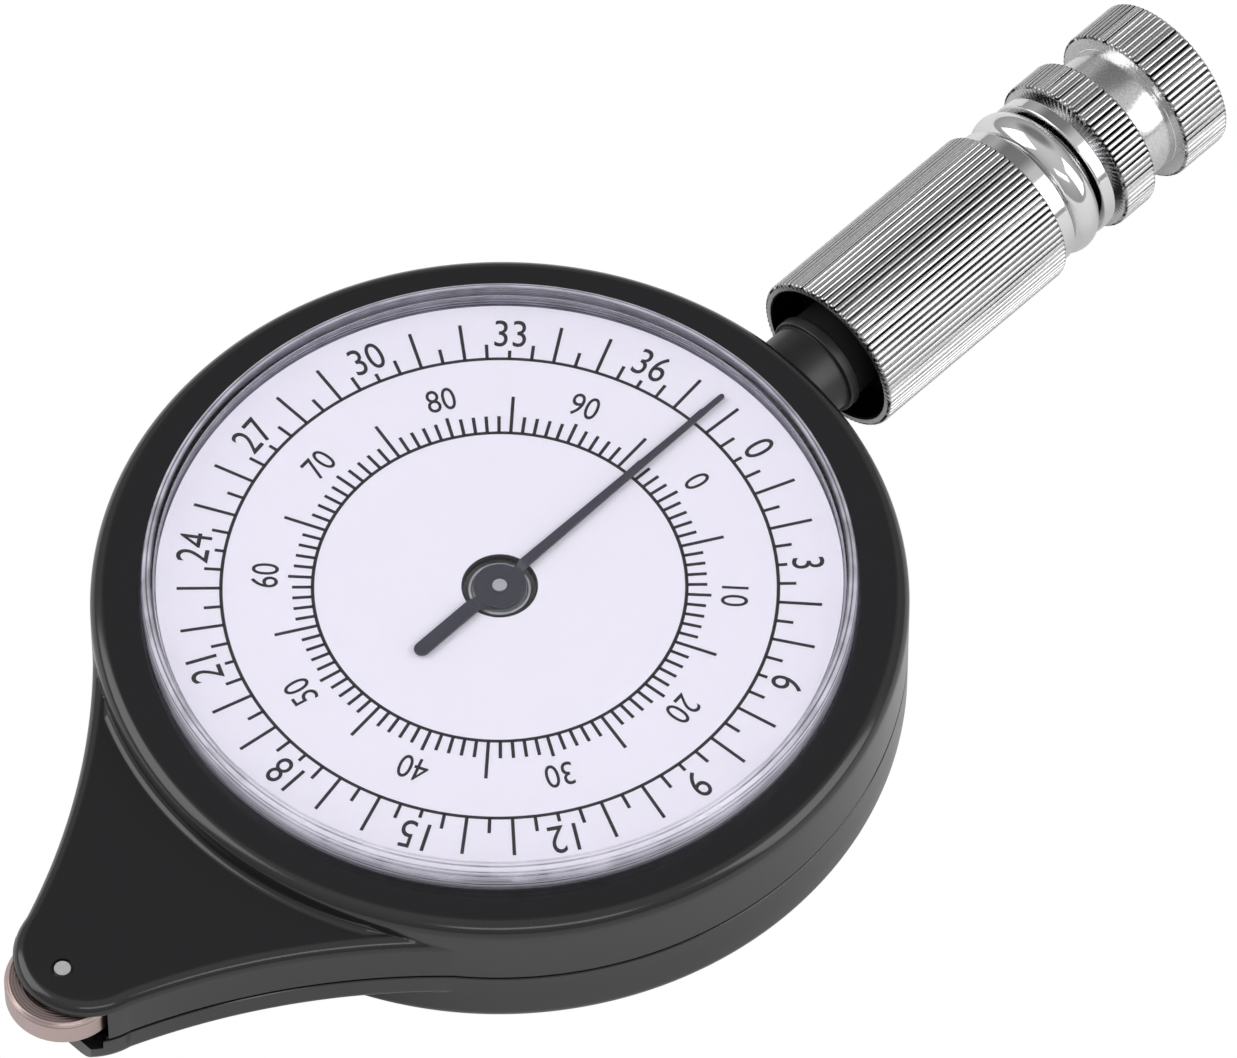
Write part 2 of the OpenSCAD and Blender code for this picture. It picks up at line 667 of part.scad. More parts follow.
// Spur gear with involute flanks, one tooth centred on +Y
module spur_gear(teeth, size, h, bore_r) {
    pitch_r = teeth * size / 2;
    base_r = pitch_r * cos(pressure_deg);
    root_r = pitch_r - dedendum * size;
    outer_r = pitch_r + addendum * size;
    first_r = max(base_r, root_r);
    flank = [first_r, first_r + 0.3 * (outer_r - first_r), first_r + 0.65 * (outer_r - first_r), outer_r];
    rising = concat([root_r], flank);
    tooth = [for (side = [-1, 1]) for (i = [0 : 4])
        let (r = rising[side < 0 ? i : 4 - i], a = half_tooth(max(r, first_r), base_r, pitch_r, teeth))
        [r, 90 - side * a]];
    difference() {
        linear_extrude(h) polygon([for (n = [0 : teeth - 1]) for (p = tooth)
            let (a = p[1] - n * 360 / teeth) p[0] * [cos(a), sin(a)]]);
        translate([0, 0, -over]) cylinder(r = bore_r, h = h + 2 * over, $fn = round_fn);
    }
}

// Steel pin that the tracing wheel turns on, pressed into both shells
module wheel_axle() {
    color("#c4c4c8") translate([0, wheel_y, tail_under_z + tail_plate / 2])
        cylinder(r = axle_r, h = tail_top_z - tail_under_z - tail_plate / 2, $fn = round_fn);
}

// Two thin washers that keep the wheel off the shells
module wheel_washers() {
    washer_r = 2.4 * axle_r;
    color("#b8a070") for (z = [tail_ceiling_z - washer_h, pinion_z - washer_h - end_play])
        translate([0, wheel_y, z]) tube(washer_r, axle_r + seat_gap, washer_h);
}

// Wheel that rolls along the line on the map
module tracing_wheel() {
    color("#c9b0aa") translate([0, wheel_y, wheel_z]) rotate_extrude($fn = round_fn)
        polygon([[axle_r + run_gap, 0], [wheel_r - wheel_chamfer, 0], [wheel_r, wheel_chamfer],
            [wheel_r, wheel_h - wheel_chamfer], [wheel_r - wheel_chamfer, wheel_h],
            [axle_r + run_gap, wheel_h]]);
}

// Pinion on the wheel's underside
module wheel_pinion() {
    color("#c8a048") translate([0, wheel_y, pinion_z])
        spur_gear(pinion_teeth, module_first, wheel_z - pinion_z, axle_r + run_gap);
}

// Arbor of the first gear, turning in the two shells
module first_arbor() {
    z_low = tail_under_z + tail_plate / 2 + end_play;
    z_high = tail_ceiling_z + tail_plate / 2 - end_play;
    color("#b0b0b4") translate([0, first_y, z_low]) cylinder(r = arbor_r, h = z_high - z_low, $fn = round_fn);
}

// First gear, driven by the wheel's pinion
module first_gear() {
    color("#d0aa50") translate([0, first_y, lower_gear_z]) rotate(180 / first_teeth)
        spur_gear(first_teeth, module_first, gear_h, arbor_r);
}

// Pinion above the first gear
module first_pinion() {
    z_low = lower_gear_z + gear_h;
    color("#c8a048") translate([0, first_y, z_low])
        spur_gear(pinion_teeth, module_second, upper_gear_z + gear_h + drop_gap - z_low, arbor_r);
}

// Arbor of the second gear, turning in the rear plate and the carrier
module second_arbor() {
    color("#b0b0b4") translate([0, second_y, plate_z])
        cylinder(r = arbor_r, h = flange_z - plate_z - end_play, $fn = round_fn);
}

// Second gear, driven by the first gear's pinion
module second_gear() {
    color("#d0aa50") translate([0, second_y, upper_gear_z]) rotate(180 / large_teeth)
        spur_gear(large_teeth, module_second, gear_h, arbor_r);
}

// Pinion below the second gear
module second_pinion() {
    color("#c8a048") translate([0, second_y, pinion_z])
        spur_gear(pinion_teeth, module_third, upper_gear_z - pinion_z, arbor_r);
}

// Arbor that carries the pointer
module centre_arbor() {
    color("#c4c4c8") translate([0, 0, plate_z])
        cylinder(r = arbor_r, h = arbor_top_z - plate_z, $fn = round_fn);
}

// Centre gear, driven by the second gear's pinion
module centre_gear() {
    color("#d0aa50") translate([0, 0, lower_gear_z]) rotate(180 / large_teeth)
        spur_gear(large_teeth, module_third, gear_h, arbor_r);
}

// Collar on the arbor that the pointer rests on
module pointer_collar() {
    color("#8a8a90") translate([0, 0, collar_z]) tube(collar_r, arbor_r, collar_h);
}

// Side view of the pointer, along its length and upwards: the hub is pressed down into the
// dial's hole, and both arms rise from it to pass over the dial
module pointer_side() {
    bend_out = dial_hole_r - end_play;
    bend_in = bend_out - pointer_bend;
    high = pointer_lift + pointer_h;
    rotate([90, 0, 90]) translate([0, 0, -pointer_hub_r - over]) linear_extrude(2 * (pointer_hub_r + over))
        polygon([[-pointer_len, pointer_lift], [-bend_out, pointer_lift], [-bend_in, 0], [bend_in, 0],
            [bend_out, pointer_lift], [pointer_len + over, pointer_lift], [pointer_len + over, high],
            [bend_out, high], [bend_in, pointer_h], [-bend_in, pointer_h], [-bend_out, high],
            [-pointer_len, high]]);
}

// Tapered pointer with a round tip and a wider counterweight end
module pointer() {
    tip_half = pointer_tip_w / 2;
    tail_half = pointer_tail_w / 2;
    high = pointer_lift + pointer_h;
    color("#4a4a52") translate([0, 0, pointer_z]) rotate(pointer_rest_deg) difference() {
        intersection() {
            union() {
                cylinder(r = pointer_hub_r, h = high, $fn = round_fn);
                linear_extrude(high) polygon([[-pointer_root_w / 2, 0], [pointer_root_w / 2, 0],
                    [tip_half, pointer_len - tip_half], [-tip_half, pointer_len - tip_half]]);
                translate([0, pointer_len - tip_half, 0]) cylinder(r = tip_half, h = high, $fn = 48);
                translate([-tail_half, tail_half - pointer_tail_len, 0])
                    cube([pointer_tail_w, pointer_tail_len - tail_half, high]);
                translate([0, tail_half - pointer_tail_len, 0]) cylinder(r = tail_half, h = high, $fn = 48);
            }
            pointer_side();
        }
        translate([0, 0, -over]) cylinder(r = arbor_r, h = high + 2 * over, $fn = round_fn);
    }
}

// Black stem that the shells close on, with the handle's bearing at its far end
module stem() {
    color("#242426") difference() {
        union() {
            on_handle(stem_flange_y) cylinder(r = stem_flange_r, h = stem_flange_h, $fn = round_fn);
            on_handle(stem_flange_y) cylinder(r = stem_neck_r, h = stem_y - stem_flange_y, $fn = round_fn);
            on_handle(stem_y) cylinder(r = stem_r, h = stem_run, $fn = round_fn);
            on_handle(stem_y + stem_ring_at) cylinder(r = stem_ring_r, h = stem_ring_w, $fn = round_fn);
        }
        on_handle(stem_end_y - stem_run / 2) cylinder(r = stem_screw_r, h = stem_run, $fn = round_fn);
    }
}

// Screw in the stem's end that keeps the handle on and lets it turn
module stem_screw() {
    color("#a8a8ac") translate([0, screw_seat_y, handle_z]) rotate([90, 0, 0])
        slotted_screw(stem_screw_r, screw_seat_y - stem_end_y + stem_run / 2 - drop_gap,
            stem_screw_head_r, stem_screw_head_h);
}

// Black liner pressed into the sleeve, which turns on the stem
module handle_liner() {
    color("#1e1e20") difference() {
        on_handle(liner_y) cylinder(r = sleeve_bore, h = web_y + liner_web - liner_y, $fn = round_fn);
        on_handle(liner_y - over) cylinder(r = stem_r + end_play, h = web_y - liner_y + over, $fn = round_fn);
        on_handle(web_y - over)
            cylinder(r = stem_screw_r + end_play, h = liner_web + 2 * over, $fn = round_fn);
    }
}

// Band of straight knurling with a plain land at each end
module knurled_band(r, h, bore_r) {
    root_r = r - knurl_depth;
    land_r = root_r - knurl_depth / 2;
    difference() {
        union() {
            translate([0, 0, knurl_land]) linear_extrude(h - 2 * knurl_land)
                polygon([for (i = [0 : 2 * knurl_count - 1])
                    (i % 2 == 0 ? r : root_r) * [cos(i * 180 / knurl_count), sin(i * 180 / knurl_count)]]);
            cylinder(r = land_r, h = h, $fn = round_fn);
        }
        translate([0, 0, -over]) cylinder(r = bore_r, h = h + 2 * over, $fn = round_fn);
    }
}

// Knurled tube that is held between the fingers
module handle_sleeve() {
    color("#cdcdcf") on_handle(sleeve_y) knurled_band(sleeve_r, sleeve_len, sleeve_bore);
}

// Turned collar in the sleeve's far end: two discs with a barrel-shaped bead between them
module handle_collar() {
    bead_rise = bead_r - bead_end_r;
    bead_arc_r = (pow(bead_w / 2, 2) + pow(bead_rise, 2)) / (2 * bead_rise);
    color("#d4d4d6") difference() {
        union() {
            on_handle(sleeve_end_y - collar_spigot)
                cylinder(r = sleeve_bore, h = collar_spigot, $fn = round_fn);
            on_handle(sleeve_end_y) cylinder(r = disc_r, h = disc_w, $fn = round_fn);
            on_handle(sleeve_end_y) cylinder(r = groove_r, h = ring_y - sleeve_end_y, $fn = round_fn);
            on_handle(bead_y) rotate_extrude($fn = round_fn) intersection() {
                square([bead_r, bead_w]);
                translate([bead_r - bead_arc_r, bead_w / 2]) circle(r = bead_arc_r, $fn = round_fn);
            }
            on_handle(disc_b_y) cylinder(r = disc_r, h = disc_b_w, $fn = round_fn);
            on_handle(ring_y - over) cylinder(r = shank_r, h = ring_w + over, $fn = round_fn);
        }
        on_handle(ring_end_y - knob_thread)
            cylinder(r = knob_screw_r, h = knob_thread + over, $fn = round_fn);
    }
}

// Knurled ring on the collar's shank
module knurled_ring() {
    color("#cdcdcf") on_handle(ring_y) knurled_band(ring_r, ring_w, shank_r);
}

// Screw down the middle of the end knob, fixed in the collar
module knob_screw() {
    color("#b8b8bc") translate([0, knob_head_y, handle_z]) rotate([90, 0, 0])
        slotted_screw(knob_screw_r, knob_head_y - ring_end_y + knob_thread - drop_gap,
            knob_screw_head_r, knob_screw_head_h);
}

// End knob that turns on its screw, with a smooth neck
module end_knob() {
    color("#d0d0d2") difference() {
        union() {
            on_handle(neck_y) cylinder(r = neck_r, h = neck_len + over, $fn = round_fn);
            on_handle(knob_y) knurled_band(knob_r, knob_w, knob_screw_r + end_play);
        }
        on_handle(neck_y - over) cylinder(r = knob_screw_r + end_play, h = neck_len + knob_w + 2 * over,
            $fn = round_fn);
        on_handle(knob_head_y - end_play) cylinder(r = knob_screw_head_r + drop_gap,
            h = knob_screw_head_h + end_play + over, $fn = round_fn);
    }
}

front_shell();
rear_shell();
crystal();
dial_plate();
dial_eyelet();
dial_carrier();
movement_plate();
movement_pillars();
movement_screws();
centre_bush();
second_bush();
wheel_axle();
wheel_washers();
tracing_wheel();
wheel_pinion();
first_arbor();
first_gear();
first_pinion();
second_arbor();
second_gear();
second_pinion();
centre_arbor();
centre_gear();
pointer_collar();
pointer();
stem();
stem_screw();
handle_liner();
handle_sleeve();
handle_collar();
knurled_ring();
knob_screw();
end_knob();
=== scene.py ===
"""Looks of a hand-held map measurer: moulded case, printed dial, clear crystal, tracing wheel
and a knurled nickel handle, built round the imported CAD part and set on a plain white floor."""

import json
import math
from functools import partial

import bmesh
import bpy
import numpy as np
from mathutils import Matrix, Vector


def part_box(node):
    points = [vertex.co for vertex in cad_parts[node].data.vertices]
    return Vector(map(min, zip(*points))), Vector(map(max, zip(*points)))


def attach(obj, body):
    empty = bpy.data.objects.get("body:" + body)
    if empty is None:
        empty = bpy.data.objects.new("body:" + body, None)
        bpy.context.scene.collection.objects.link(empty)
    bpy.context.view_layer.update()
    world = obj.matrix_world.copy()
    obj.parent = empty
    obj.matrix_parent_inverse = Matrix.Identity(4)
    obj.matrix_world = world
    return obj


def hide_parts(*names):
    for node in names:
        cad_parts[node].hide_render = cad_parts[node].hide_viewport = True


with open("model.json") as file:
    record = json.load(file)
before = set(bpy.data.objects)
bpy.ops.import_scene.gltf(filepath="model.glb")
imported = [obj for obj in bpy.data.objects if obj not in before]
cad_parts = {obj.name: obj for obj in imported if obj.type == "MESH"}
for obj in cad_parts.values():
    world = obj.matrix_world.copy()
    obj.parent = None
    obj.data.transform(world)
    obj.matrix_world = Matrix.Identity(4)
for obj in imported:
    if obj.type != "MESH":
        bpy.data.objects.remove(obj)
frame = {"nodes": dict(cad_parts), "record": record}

bl_info = {
    "name": "Map measurer looks",
    "version": (1, 0, 0),
    "blender": (4, 5, 0),
    "location": "View3D > Sidebar > Map measurer",
    "description": "Builds the surfaces, print, materials and stage of a map measurer",
    "category": "Object",
}

MM = 0.001
FULL_TURN = 2 * math.pi
SHARP_EDGE = 30  # Degrees past which an edge stays crisp
BORE_EDGE = 0.08 * MM  # Chamfer on the edges of the handle's bores
TOUCHING = 1e-7  # Points closer than this are one
ACRYLIC_IOR = 1.49
WHITE = (1, 1, 1, 1)


# ---------------------------------------------------------------- properties

def srgb(code):
    """Linear RGBA of an sRGB hex colour such as #2a2a2c."""
    part = [int(code[i:i + 2], 16) / 255 for i in (1, 3, 5)]
    return tuple(c / 12.92 if c <= 0.04045 else ((c + 0.055) / 1.055) ** 2.4 for c in part) + (1.0,)


def properties(**entries):
    """Properties of a group. Each entry is a default, a description and sometimes a kind, and
    its own name in words is the property's name. A hex value is a colour and a whole number is
    a count. The rest are in millimetres, if they are no angle in degrees and no share. A pair
    is a start and an end."""
    made = {}
    for key, (value, words, *kind) in entries.items():
        prop, more = bpy.props.FloatProperty, {"unit": "LENGTH", "precision": 5}
        if isinstance(value, str):
            prop, value = bpy.props.FloatVectorProperty, srgb(value)
            more = {"subtype": "COLOR", "size": 4, "min": 0, "max": 1}
        elif isinstance(value, int):
            prop, more = bpy.props.IntProperty, {"min": 1}
        elif isinstance(value, tuple):
            prop, value, more["size"] = bpy.props.FloatVectorProperty, [v * MM for v in value], 2
        elif kind == ["angle"]:
            value, more = math.radians(value), {"subtype": "ANGLE"}
        elif kind == ["share"]:
            more = {"min": 0}
        else:
            value *= MM
        made[key] = prop(name=key.replace("_", " ").capitalize(), description=words,
                         default=value, **more)
    return made


class CaseSizes(bpy.types.PropertyGroup):
    __annotations__ = properties(
        drum=(22.4, "Radius of the round drum"),
        wall=(1.2, "Thickness of the drum's wall"),
        floor=(1.0, "Thickness of the drum's rear wall"),
        rear_round=(1.1, "Radius of the rounded rear edge"),
        bezel_top=(9.0, "Height of the bezel's flat top"),
        lip=(0.9, "Thickness of the bezel's lip"),
        opening=(19.65, "Radius of the bezel's opening"),
        shoulder=(0.9, "Radius of the bezel's rounded shoulder"),
        ease=(0.14, "Radius that breaks the opening's edge"),
        seam=(4.4, "Height of the seam between the shells"),
        seam_gap=(0.2, "Height of the groove under the seam"),
        seam_depth=(0.25, "Depth of the groove under the seam"),
        flank=(42.0, "Radius of the tail's concave flanks"),
        bite=(0.06, "How far a flank cuts past its tangent points"),
        tip=(4.05, "Radius of the tail's round tip"),
        tip_back=(1.9, "How far the tip's middle lies behind the axle"),
        tail_top=(7.5, "Height of the tail's top face"),
        tail_under=(2.4, "Height of the tail's underside"),
        tail_plate=(0.7, "Thickness of the tail's top and bottom"),
        tail_wall=(0.9, "Thickness of the tail's side walls"),
        tail_round=(0.75, "Radius of the tail's upper edge"),
        tail_under_round=(0.6, "Radius of the tail's lower edge"),
        fillet=(0.5, "Radius where the drum meets the tail's top"),
        rear_run=(0.9, "How far the rear shell runs past the axle"),
        recess=(0.62, "Radius of the recess round the axle's end"),
        recess_depth=(0.25, "Depth of the recess round the axle's end"),
        plastic=("#1b1b1d", "Colour of the moulded case"))


class DialSizes(bpy.types.PropertyGroup):
    __annotations__ = properties(
        face=(8.85, "Height of the printed face"),
        card=(0.4, "Thickness of the dial card"),
        radius=(18.85, "Radius of the dial card"),
        hole=(2.0, "Radius of the hole in the dial card"),
        ink=(0.008, "Thickness of the printed marks"),
        line=(0.19, "Width of the printed lines"),
        zero=(12.6, "Direction of both zeros, clockwise from the handle", "angle"),
        outer_ring=(15.22, "Radius of the inch scale's circle"),
        outer_short=(0.56, "Length of a mark under a number"),
        outer_half=(0.98, "Length of a half-inch mark"),
        outer_long=(2.42, "Length of a whole-inch mark"),
        outer_text=(16.93, "Radius on which the inch numbers stand"),
        outer_height=(1.78, "Height of the inch numbers"),
        outer_count=(39, "Inches that one turn of the pointer reads"),
        outer_step=(3, "Inches from one number to the next"),
        inner_ring=(10.22, "Radius of the centimetre scale's circle"),
        inner_short=(1.12, "Length of a plain mark"),
        inner_ten=(1.36, "Length of a mark under a number"),
        inner_long=(2.45, "Length of a mark half-way between numbers"),
        inner_text=(12.85, "Radius on which the numbers stand"),
        inner_height=(1.5, "Height of the numbers"),
        inner_count=(100, "Centimetres that one turn of the pointer reads"),
        inner_step=(10, "Centimetres from one number to the next"),
        narrow=(0.8, "Width of the numerals as a share of the typeface's", "share"),
        card_colour=("#f5f1f6", "Colour of the dial card"),
        ink_colour=("#141318", "Colour of the print"),
        eyelet=(1.74, "Radius of the metal eyelet"),
        eyelet_height=(0.15, "Thickness of the eyelet's flange"),
        eyelet_bore=(0.43, "Radius of the eyelet's bore"))


class CrystalSizes(bpy.types.PropertyGroup):
    __annotations__ = properties(
        radius=(19.55, "Outer radius of the crystal's skirt"),
        wall=(0.6, "Thickness of the crystal's skirt"),
        top=(10.6, "Height of the crystal's outer face"),
        thick=(0.8, "Thickness of the crystal's top"),
        edge=(0.45, "Radius of the crystal's upper edge"),
        inner_edge=(0.2, "Radius of the crystal's inner corner"),
        flange=(20.5, "Radius of the crystal's flange"),
        flange_low=(7.5, "Height of the flange's underside"),
        flange_top=(8.1, "Height of the flange's upper face"),
        tint=("#f7f7fb", "Colour of the acrylic"))


class PointerSizes(bpy.types.PropertyGroup):
    __annotations__ = properties(
        low=(8.75, "Height of the underside of the pointer's hub"),
        thick=(0.15, "Thickness of the pointer"),
        lift=(0.25, "How far the arms stand above the pressed-down hub"),
        bend_in=(1.53, "Where each arm starts to rise from the hub"),
        bend_out=(1.95, "Where each arm has risen clear of the dial's hole"),
        reach=(17.6, "Reach of the pointer from its axis"),
        root=(0.68, "Width of the pointer at its hub"),
        tip=(0.33, "Width of the pointer at its tip"),
        back=(6.47, "Reach of the counterweight end"),
        back_width=(0.9, "Width of the counterweight end"),
        hub=(1.46, "Radius of the hub disc"),
        bore=(0.4, "Radius of the hub's bore"),
        rest=(0.3, "Direction at rest, anticlockwise from the handle", "angle"),
        paint=("#3a3a42", "Colour of the pointer's paint"))


class WheelSizes(bpy.types.PropertyGroup):
    __annotations__ = properties(
        radius=(3.1831, "Radius of the tracing wheel"),
        bore=(0.48, "Radius of the wheel's bore"),
        edge=(0.25, "Radius that breaks the wheel's rims"),
        groove=(0.12, "Depth of the turned recess in each face"),
        metal=("#b3a09d", "Colour of the wheel's metal"))


class HandleSizes(bpy.types.PropertyGroup):
    __annotations__ = properties(
        height=(5.05, "Height of the handle's axis"),
        sleeve_span=((25.8, 40.1), "Where the knurled sleeve starts and ends"),
        sleeve=(4.86, "Outer radius of the sleeve"),
        sleeve_bore=(4.31, "Radius of the sleeve's bore"),
        groove=(3.4, "Radius at the bottom of the collar's grooves"),
        disc=(4.4, "Radius of the collar's discs"),
        disc_end=(41.25, "Where the first disc ends"),
        bead_span=((41.37, 43.57), "Where the bead starts and ends"),
        bead=(4.62, "Largest radius of the bead"),
        bead_rim=(3.75, "Radius of the bead at its ends"),
        disc_b_span=((43.69, 44.54), "Where the second disc starts and ends"),
        ring_span=((44.99, 47.39), "Where the knurled ring starts and ends"),
        ring=(4.84, "Outer radius of the knurled ring"),
        shank=(2.5, "Radius of the shank under the ring"),
        neck_start=(47.44, "Where the knob's neck starts"),
        neck=(3.95, "Radius of the knob's neck"),
        knob_span=((49.89, 53.24), "Where the knob's knurling starts and the knob ends"),
        knob=(4.84, "Outer radius of the knob"),
        knob_bore=(1.05, "Radius of the knob's bore"),
        knob_seat=(1.9, "Radius of the recess for the screw's head"),
        knob_seat_depth=(0.95, "Depth of the recess for the screw's head"),
        ridges=(84, "Ridges in the knurling round the handle"),
        ridge_depth=(0.13, "Depth of the knurling"),
        crest=(1.7, "Steepness of the ridges' sides; more leaves broader crests", "share"),
        rim=(0.18, "Chamfer at each end of a knurled band"),
        stem=(2.74, "Radius of the black stem"),
        stem_span=((22.45, 31.05), "Where the stem leaves the case and where it ends"),
        stem_ring=(3.0, "Radius of the raised ring on the stem"),
        stem_ring_span=((24.65, 25.35), "Where the raised ring on the stem starts and ends"),
        stem_neck=(2.0, "Radius of the stem in the case's wall"),
        stem_flange=(2.55, "Radius of the stem's flange in the case"),
        stem_inner=(19.7, "Where the stem's flange starts in the case"),
        stem_flange_end=(21.1, "Where the stem's flange ends"),
        nickel=("#dededf", "Colour of the nickel plate"),
        stem_colour=("#1e1e20", "Colour of the stem's plastic"))


class StageSizes(bpy.types.PropertyGroup):
    __annotations__ = properties(
        azimuth=(44.52, "Direction the photograph is taken from", "angle"),
        elevation=(55.2, "Height of the view above the table", "angle"),
        distance=(750.0, "From the camera to the dial"),
        frame_width=(67.52, "Width that the picture covers at the dial"),
        shift_right=(6.487, "How far right of the dial's middle the camera aims"),
        shift_up=(3.001, "How far above the dial's middle the camera aims"),
        aim=(9.35, "Height of the point that those two start from"),
        floor_size=(3000.0, "Radius of the round floor"),
        floor_drop=(0.02, "Gap between the floor and the case"),
        floor_colour=("#fafafa", "Colour of the floor"),
        tent_low=(0.35, "Brightness of the tent near the floor", "share"),
        tent_high=(0.75, "Brightness of the tent overhead", "share"),
        card_near=(16.0, "Half-angle of the black card's full tone", "angle"),
        card_far=(34.0, "Half-angle at which the black card has faded out", "angle"),
        card_tone=(0.36, "Brightness of the black card beside the tent's", "share"))


# ------------------------------------------------------------------ surfaces

def rounded(corners, steps=8):
    """Path through corners given as (a, b, radius). Each corner becomes the arc that touches
    both straight sides: its ends lie radius / tan(half the corner's angle) from the corner, and
    its middle lies on the bisector at radius / sin(half the angle). A support point stands just
    before and after each arc, so that shading stays flat along the straight sides."""
    path = []
    for i, (a, b, radius) in enumerate(corners):
        here = np.array([a, b])
        if radius <= 0:
            path.append(here[None, :])
            continue
        before = np.array(corners[i - 1][:2]) - here
        after = np.array(corners[(i + 1) % len(corners)][:2]) - here
        before /= np.linalg.norm(before)
        after /= np.linalg.norm(after)
        half = 0.5 * math.acos(float(np.clip(before @ after, -1, 1)))
        reach = radius / math.tan(half)
        bisector = (before + after) / np.linalg.norm(before + after)
        middle = here + bisector * radius / math.sin(half)
        start, end = here + before * reach, here + after * reach
        u = (start - middle) / radius
        turn = np.sign(u[0] * (end - middle)[1] - u[1] * (end - middle)[0])
        t = np.linspace(0, math.pi - 2 * half, steps + 1) * turn
        arc = middle + radius * np.stack([u[0] * np.cos(t) - u[1] * np.sin(t),
                                          u[0] * np.sin(t) + u[1] * np.cos(t)], 1)
        support = 0.12 * radius
        path.append(np.concatenate([[start + before * support], arc, [end + after * support]]))
    return np.concatenate(path)


def revolve(radius, station, segments, height=None):
    """Grid of a profile turned through a full circle: a point is radius * cos and radius * sin
    of the turn, where the radius has one row or a row for each turn. About the dial's axis the
    station is z; about the handle's axis, at the given height, it is y."""
    turn = np.linspace(0, FULL_TURN, segments, endpoint=False)[:, None]
    across, side = radius * np.cos(turn), radius * np.sin(turn)
    along = np.broadcast_to(station, across.shape)
    if height is None:
        return np.stack([across, side, along], -1)
    return np.stack([across, along, height + side], -1)


def surface(points, wrap_rows=True, wrap_columns=True):
    """(points, faces) part of a grid of points, with quads between the neighbouring points."""
    rows, columns = points.shape[:2]
    i = np.arange(rows if wrap_rows else rows - 1)[:, None]
    j = np.arange(columns if wrap_columns else columns - 1)[None, :]
    i2, j2 = (i + 1) % rows, (j + 1) % columns
    corners = [i * columns + j, i2 * columns + j, i2 * columns + j2, i * columns + j2]
    return points, np.stack(corners, -1).reshape(-1, 4)


def solid_of_turn(profile, segments=256, height=None):
    """Part made by turning a closed profile, or an open one whose ends lie on the axis."""
    on_axis = profile[0, 0] == 0 and profile[-1, 0] == 0
    points = revolve(profile[None, :, 0], profile[:, 1], segments, height)
    return surface(points, True, not on_axis)


def linked(name, data):
    """New object of the data, in the scene."""
    made = bpy.data.objects.new(name, data)
    bpy.context.scene.collection.objects.link(made)
    return made


def evaluated_mesh(made):
    """Mesh of an object as its modifiers or its text make it."""
    graph = bpy.context.evaluated_depsgraph_get()
    return bpy.data.meshes.new_from_object(made.evaluated_get(graph), depsgraph=graph)


def crisp(mesh, sharp):
    """Smooth shading, with the edges sharper than the given degrees left crisp."""
    mesh.shade_smooth()
    mesh.set_sharp_from_angle(angle=math.radians(sharp))


def mesh_object(name, parts, sharp=SHARP_EDGE):
    """Object from (points, faces) parts. Doubled points, as at a pole, are merged, every closed
    part is turned to face outwards, and edges sharper than the given degrees stay crisp."""
    points, faces, start = [], [], 0
    for co, quads in parts:
        points.append(co.reshape(-1, 3))
        faces.extend((np.asarray(quads) + start).tolist())
        start += len(points[-1])
    mesh = bpy.data.meshes.new(name)
    mesh.from_pydata(np.concatenate(points).tolist(), [], faces)
    work = bmesh.new()
    work.from_mesh(mesh)
    bmesh.ops.remove_doubles(work, verts=work.verts, dist=2 * TOUCHING)
    bmesh.ops.dissolve_degenerate(work, edges=work.edges, dist=TOUCHING)
    bmesh.ops.recalc_face_normals(work, faces=work.faces)
    work.to_mesh(mesh)
    work.free()
    crisp(mesh, sharp)
    return linked(name, mesh)


def turned(name, corners, steps, segments, height=None):
    """Object made by turning a profile of (radius, station, rounding) corners."""
    return mesh_object(name, [solid_of_turn(rounded(corners, steps), segments, height)])


def place(made, body, node, slot, material=None):
    """Finishes a piece: its material, the body it moves with and the CAD node it stands for."""
    made.data.materials.append(MATERIALS[material or slot])
    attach(made, body)
    if node:
        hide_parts(node)


# ----------------------------------------------------------------- materials

MATERIALS = {}


def node_add(tree, kind, inputs=None, out=0, **settings):
    """Adds a shader node, sets its attributes, gives each input its value or its link, and
    returns the output that is asked for."""
    made = tree.nodes.new("ShaderNode" + kind)
    for key, value in settings.items():
        setattr(made, key, value)
    for key, value in (inputs or {}).items():
        if isinstance(value, bpy.types.NodeSocket):
            tree.links.new(value, made.inputs[key])
        else:
            made.inputs[key].default_value = value
    return made.outputs[out] if made.outputs else made


def empty_material(name):
    """New material with an empty node tree, and the function that adds nodes to it."""
    made = bpy.data.materials.new(name)
    made.use_nodes = True
    made.node_tree.nodes.clear()
    return made, partial(node_add, made.node_tree)


def per_metre(millimetres):
    """Scale of a pattern on Object coordinates whose features are this many millimetres."""
    return 1 / (millimetres * MM)


def axis_distance(add, centre, across):
    """Distance of the shaded point from an axis through the centre: the length of its offset,
    where the factors across take out the share along the axis."""
    offset = add("Mapping", {"Vector": add("TexCoord", out="Object"),
                             "Location": [-c for c in centre]})
    flat = add("VectorMath", {0: offset, 1: across}, operation="MULTIPLY")
    return add("VectorMath", {0: flat}, "Value", operation="LENGTH")


def surface_material(name, base, roughness, vary, grain_mm, bump, metallic=0.0, ior=1.5,
                     shade=0.0):
    """Principled material with a noise of the given grain that varies its roughness, shades its
    colour and gives it a fine relief."""
    made, add = empty_material(name)
    noise = add("TexNoise", {"Vector": add("TexCoord", out="Object"),
                             "Scale": per_metre(grain_mm), "Detail": 3.0})
    rough = add("MapRange", {"Value": noise, "To Min": roughness - vary,
                             "To Max": roughness + vary})
    dark = [c * (1 - shade) for c in base[:3]] + [1.0]
    tone = add("Mix", {0: noise, 6: dark, 7: base}, 2, data_type="RGBA")
    relief = add("Bump", {"Height": noise, "Strength": bump, "Distance": 0.02 * MM})
    body = add("BsdfPrincipled", {"Base Color": tone, "Roughness": rough, "Normal": relief,
                                  "Metallic": metallic, "IOR": ior})
    add("OutputMaterial", {"Surface": body})
    return made


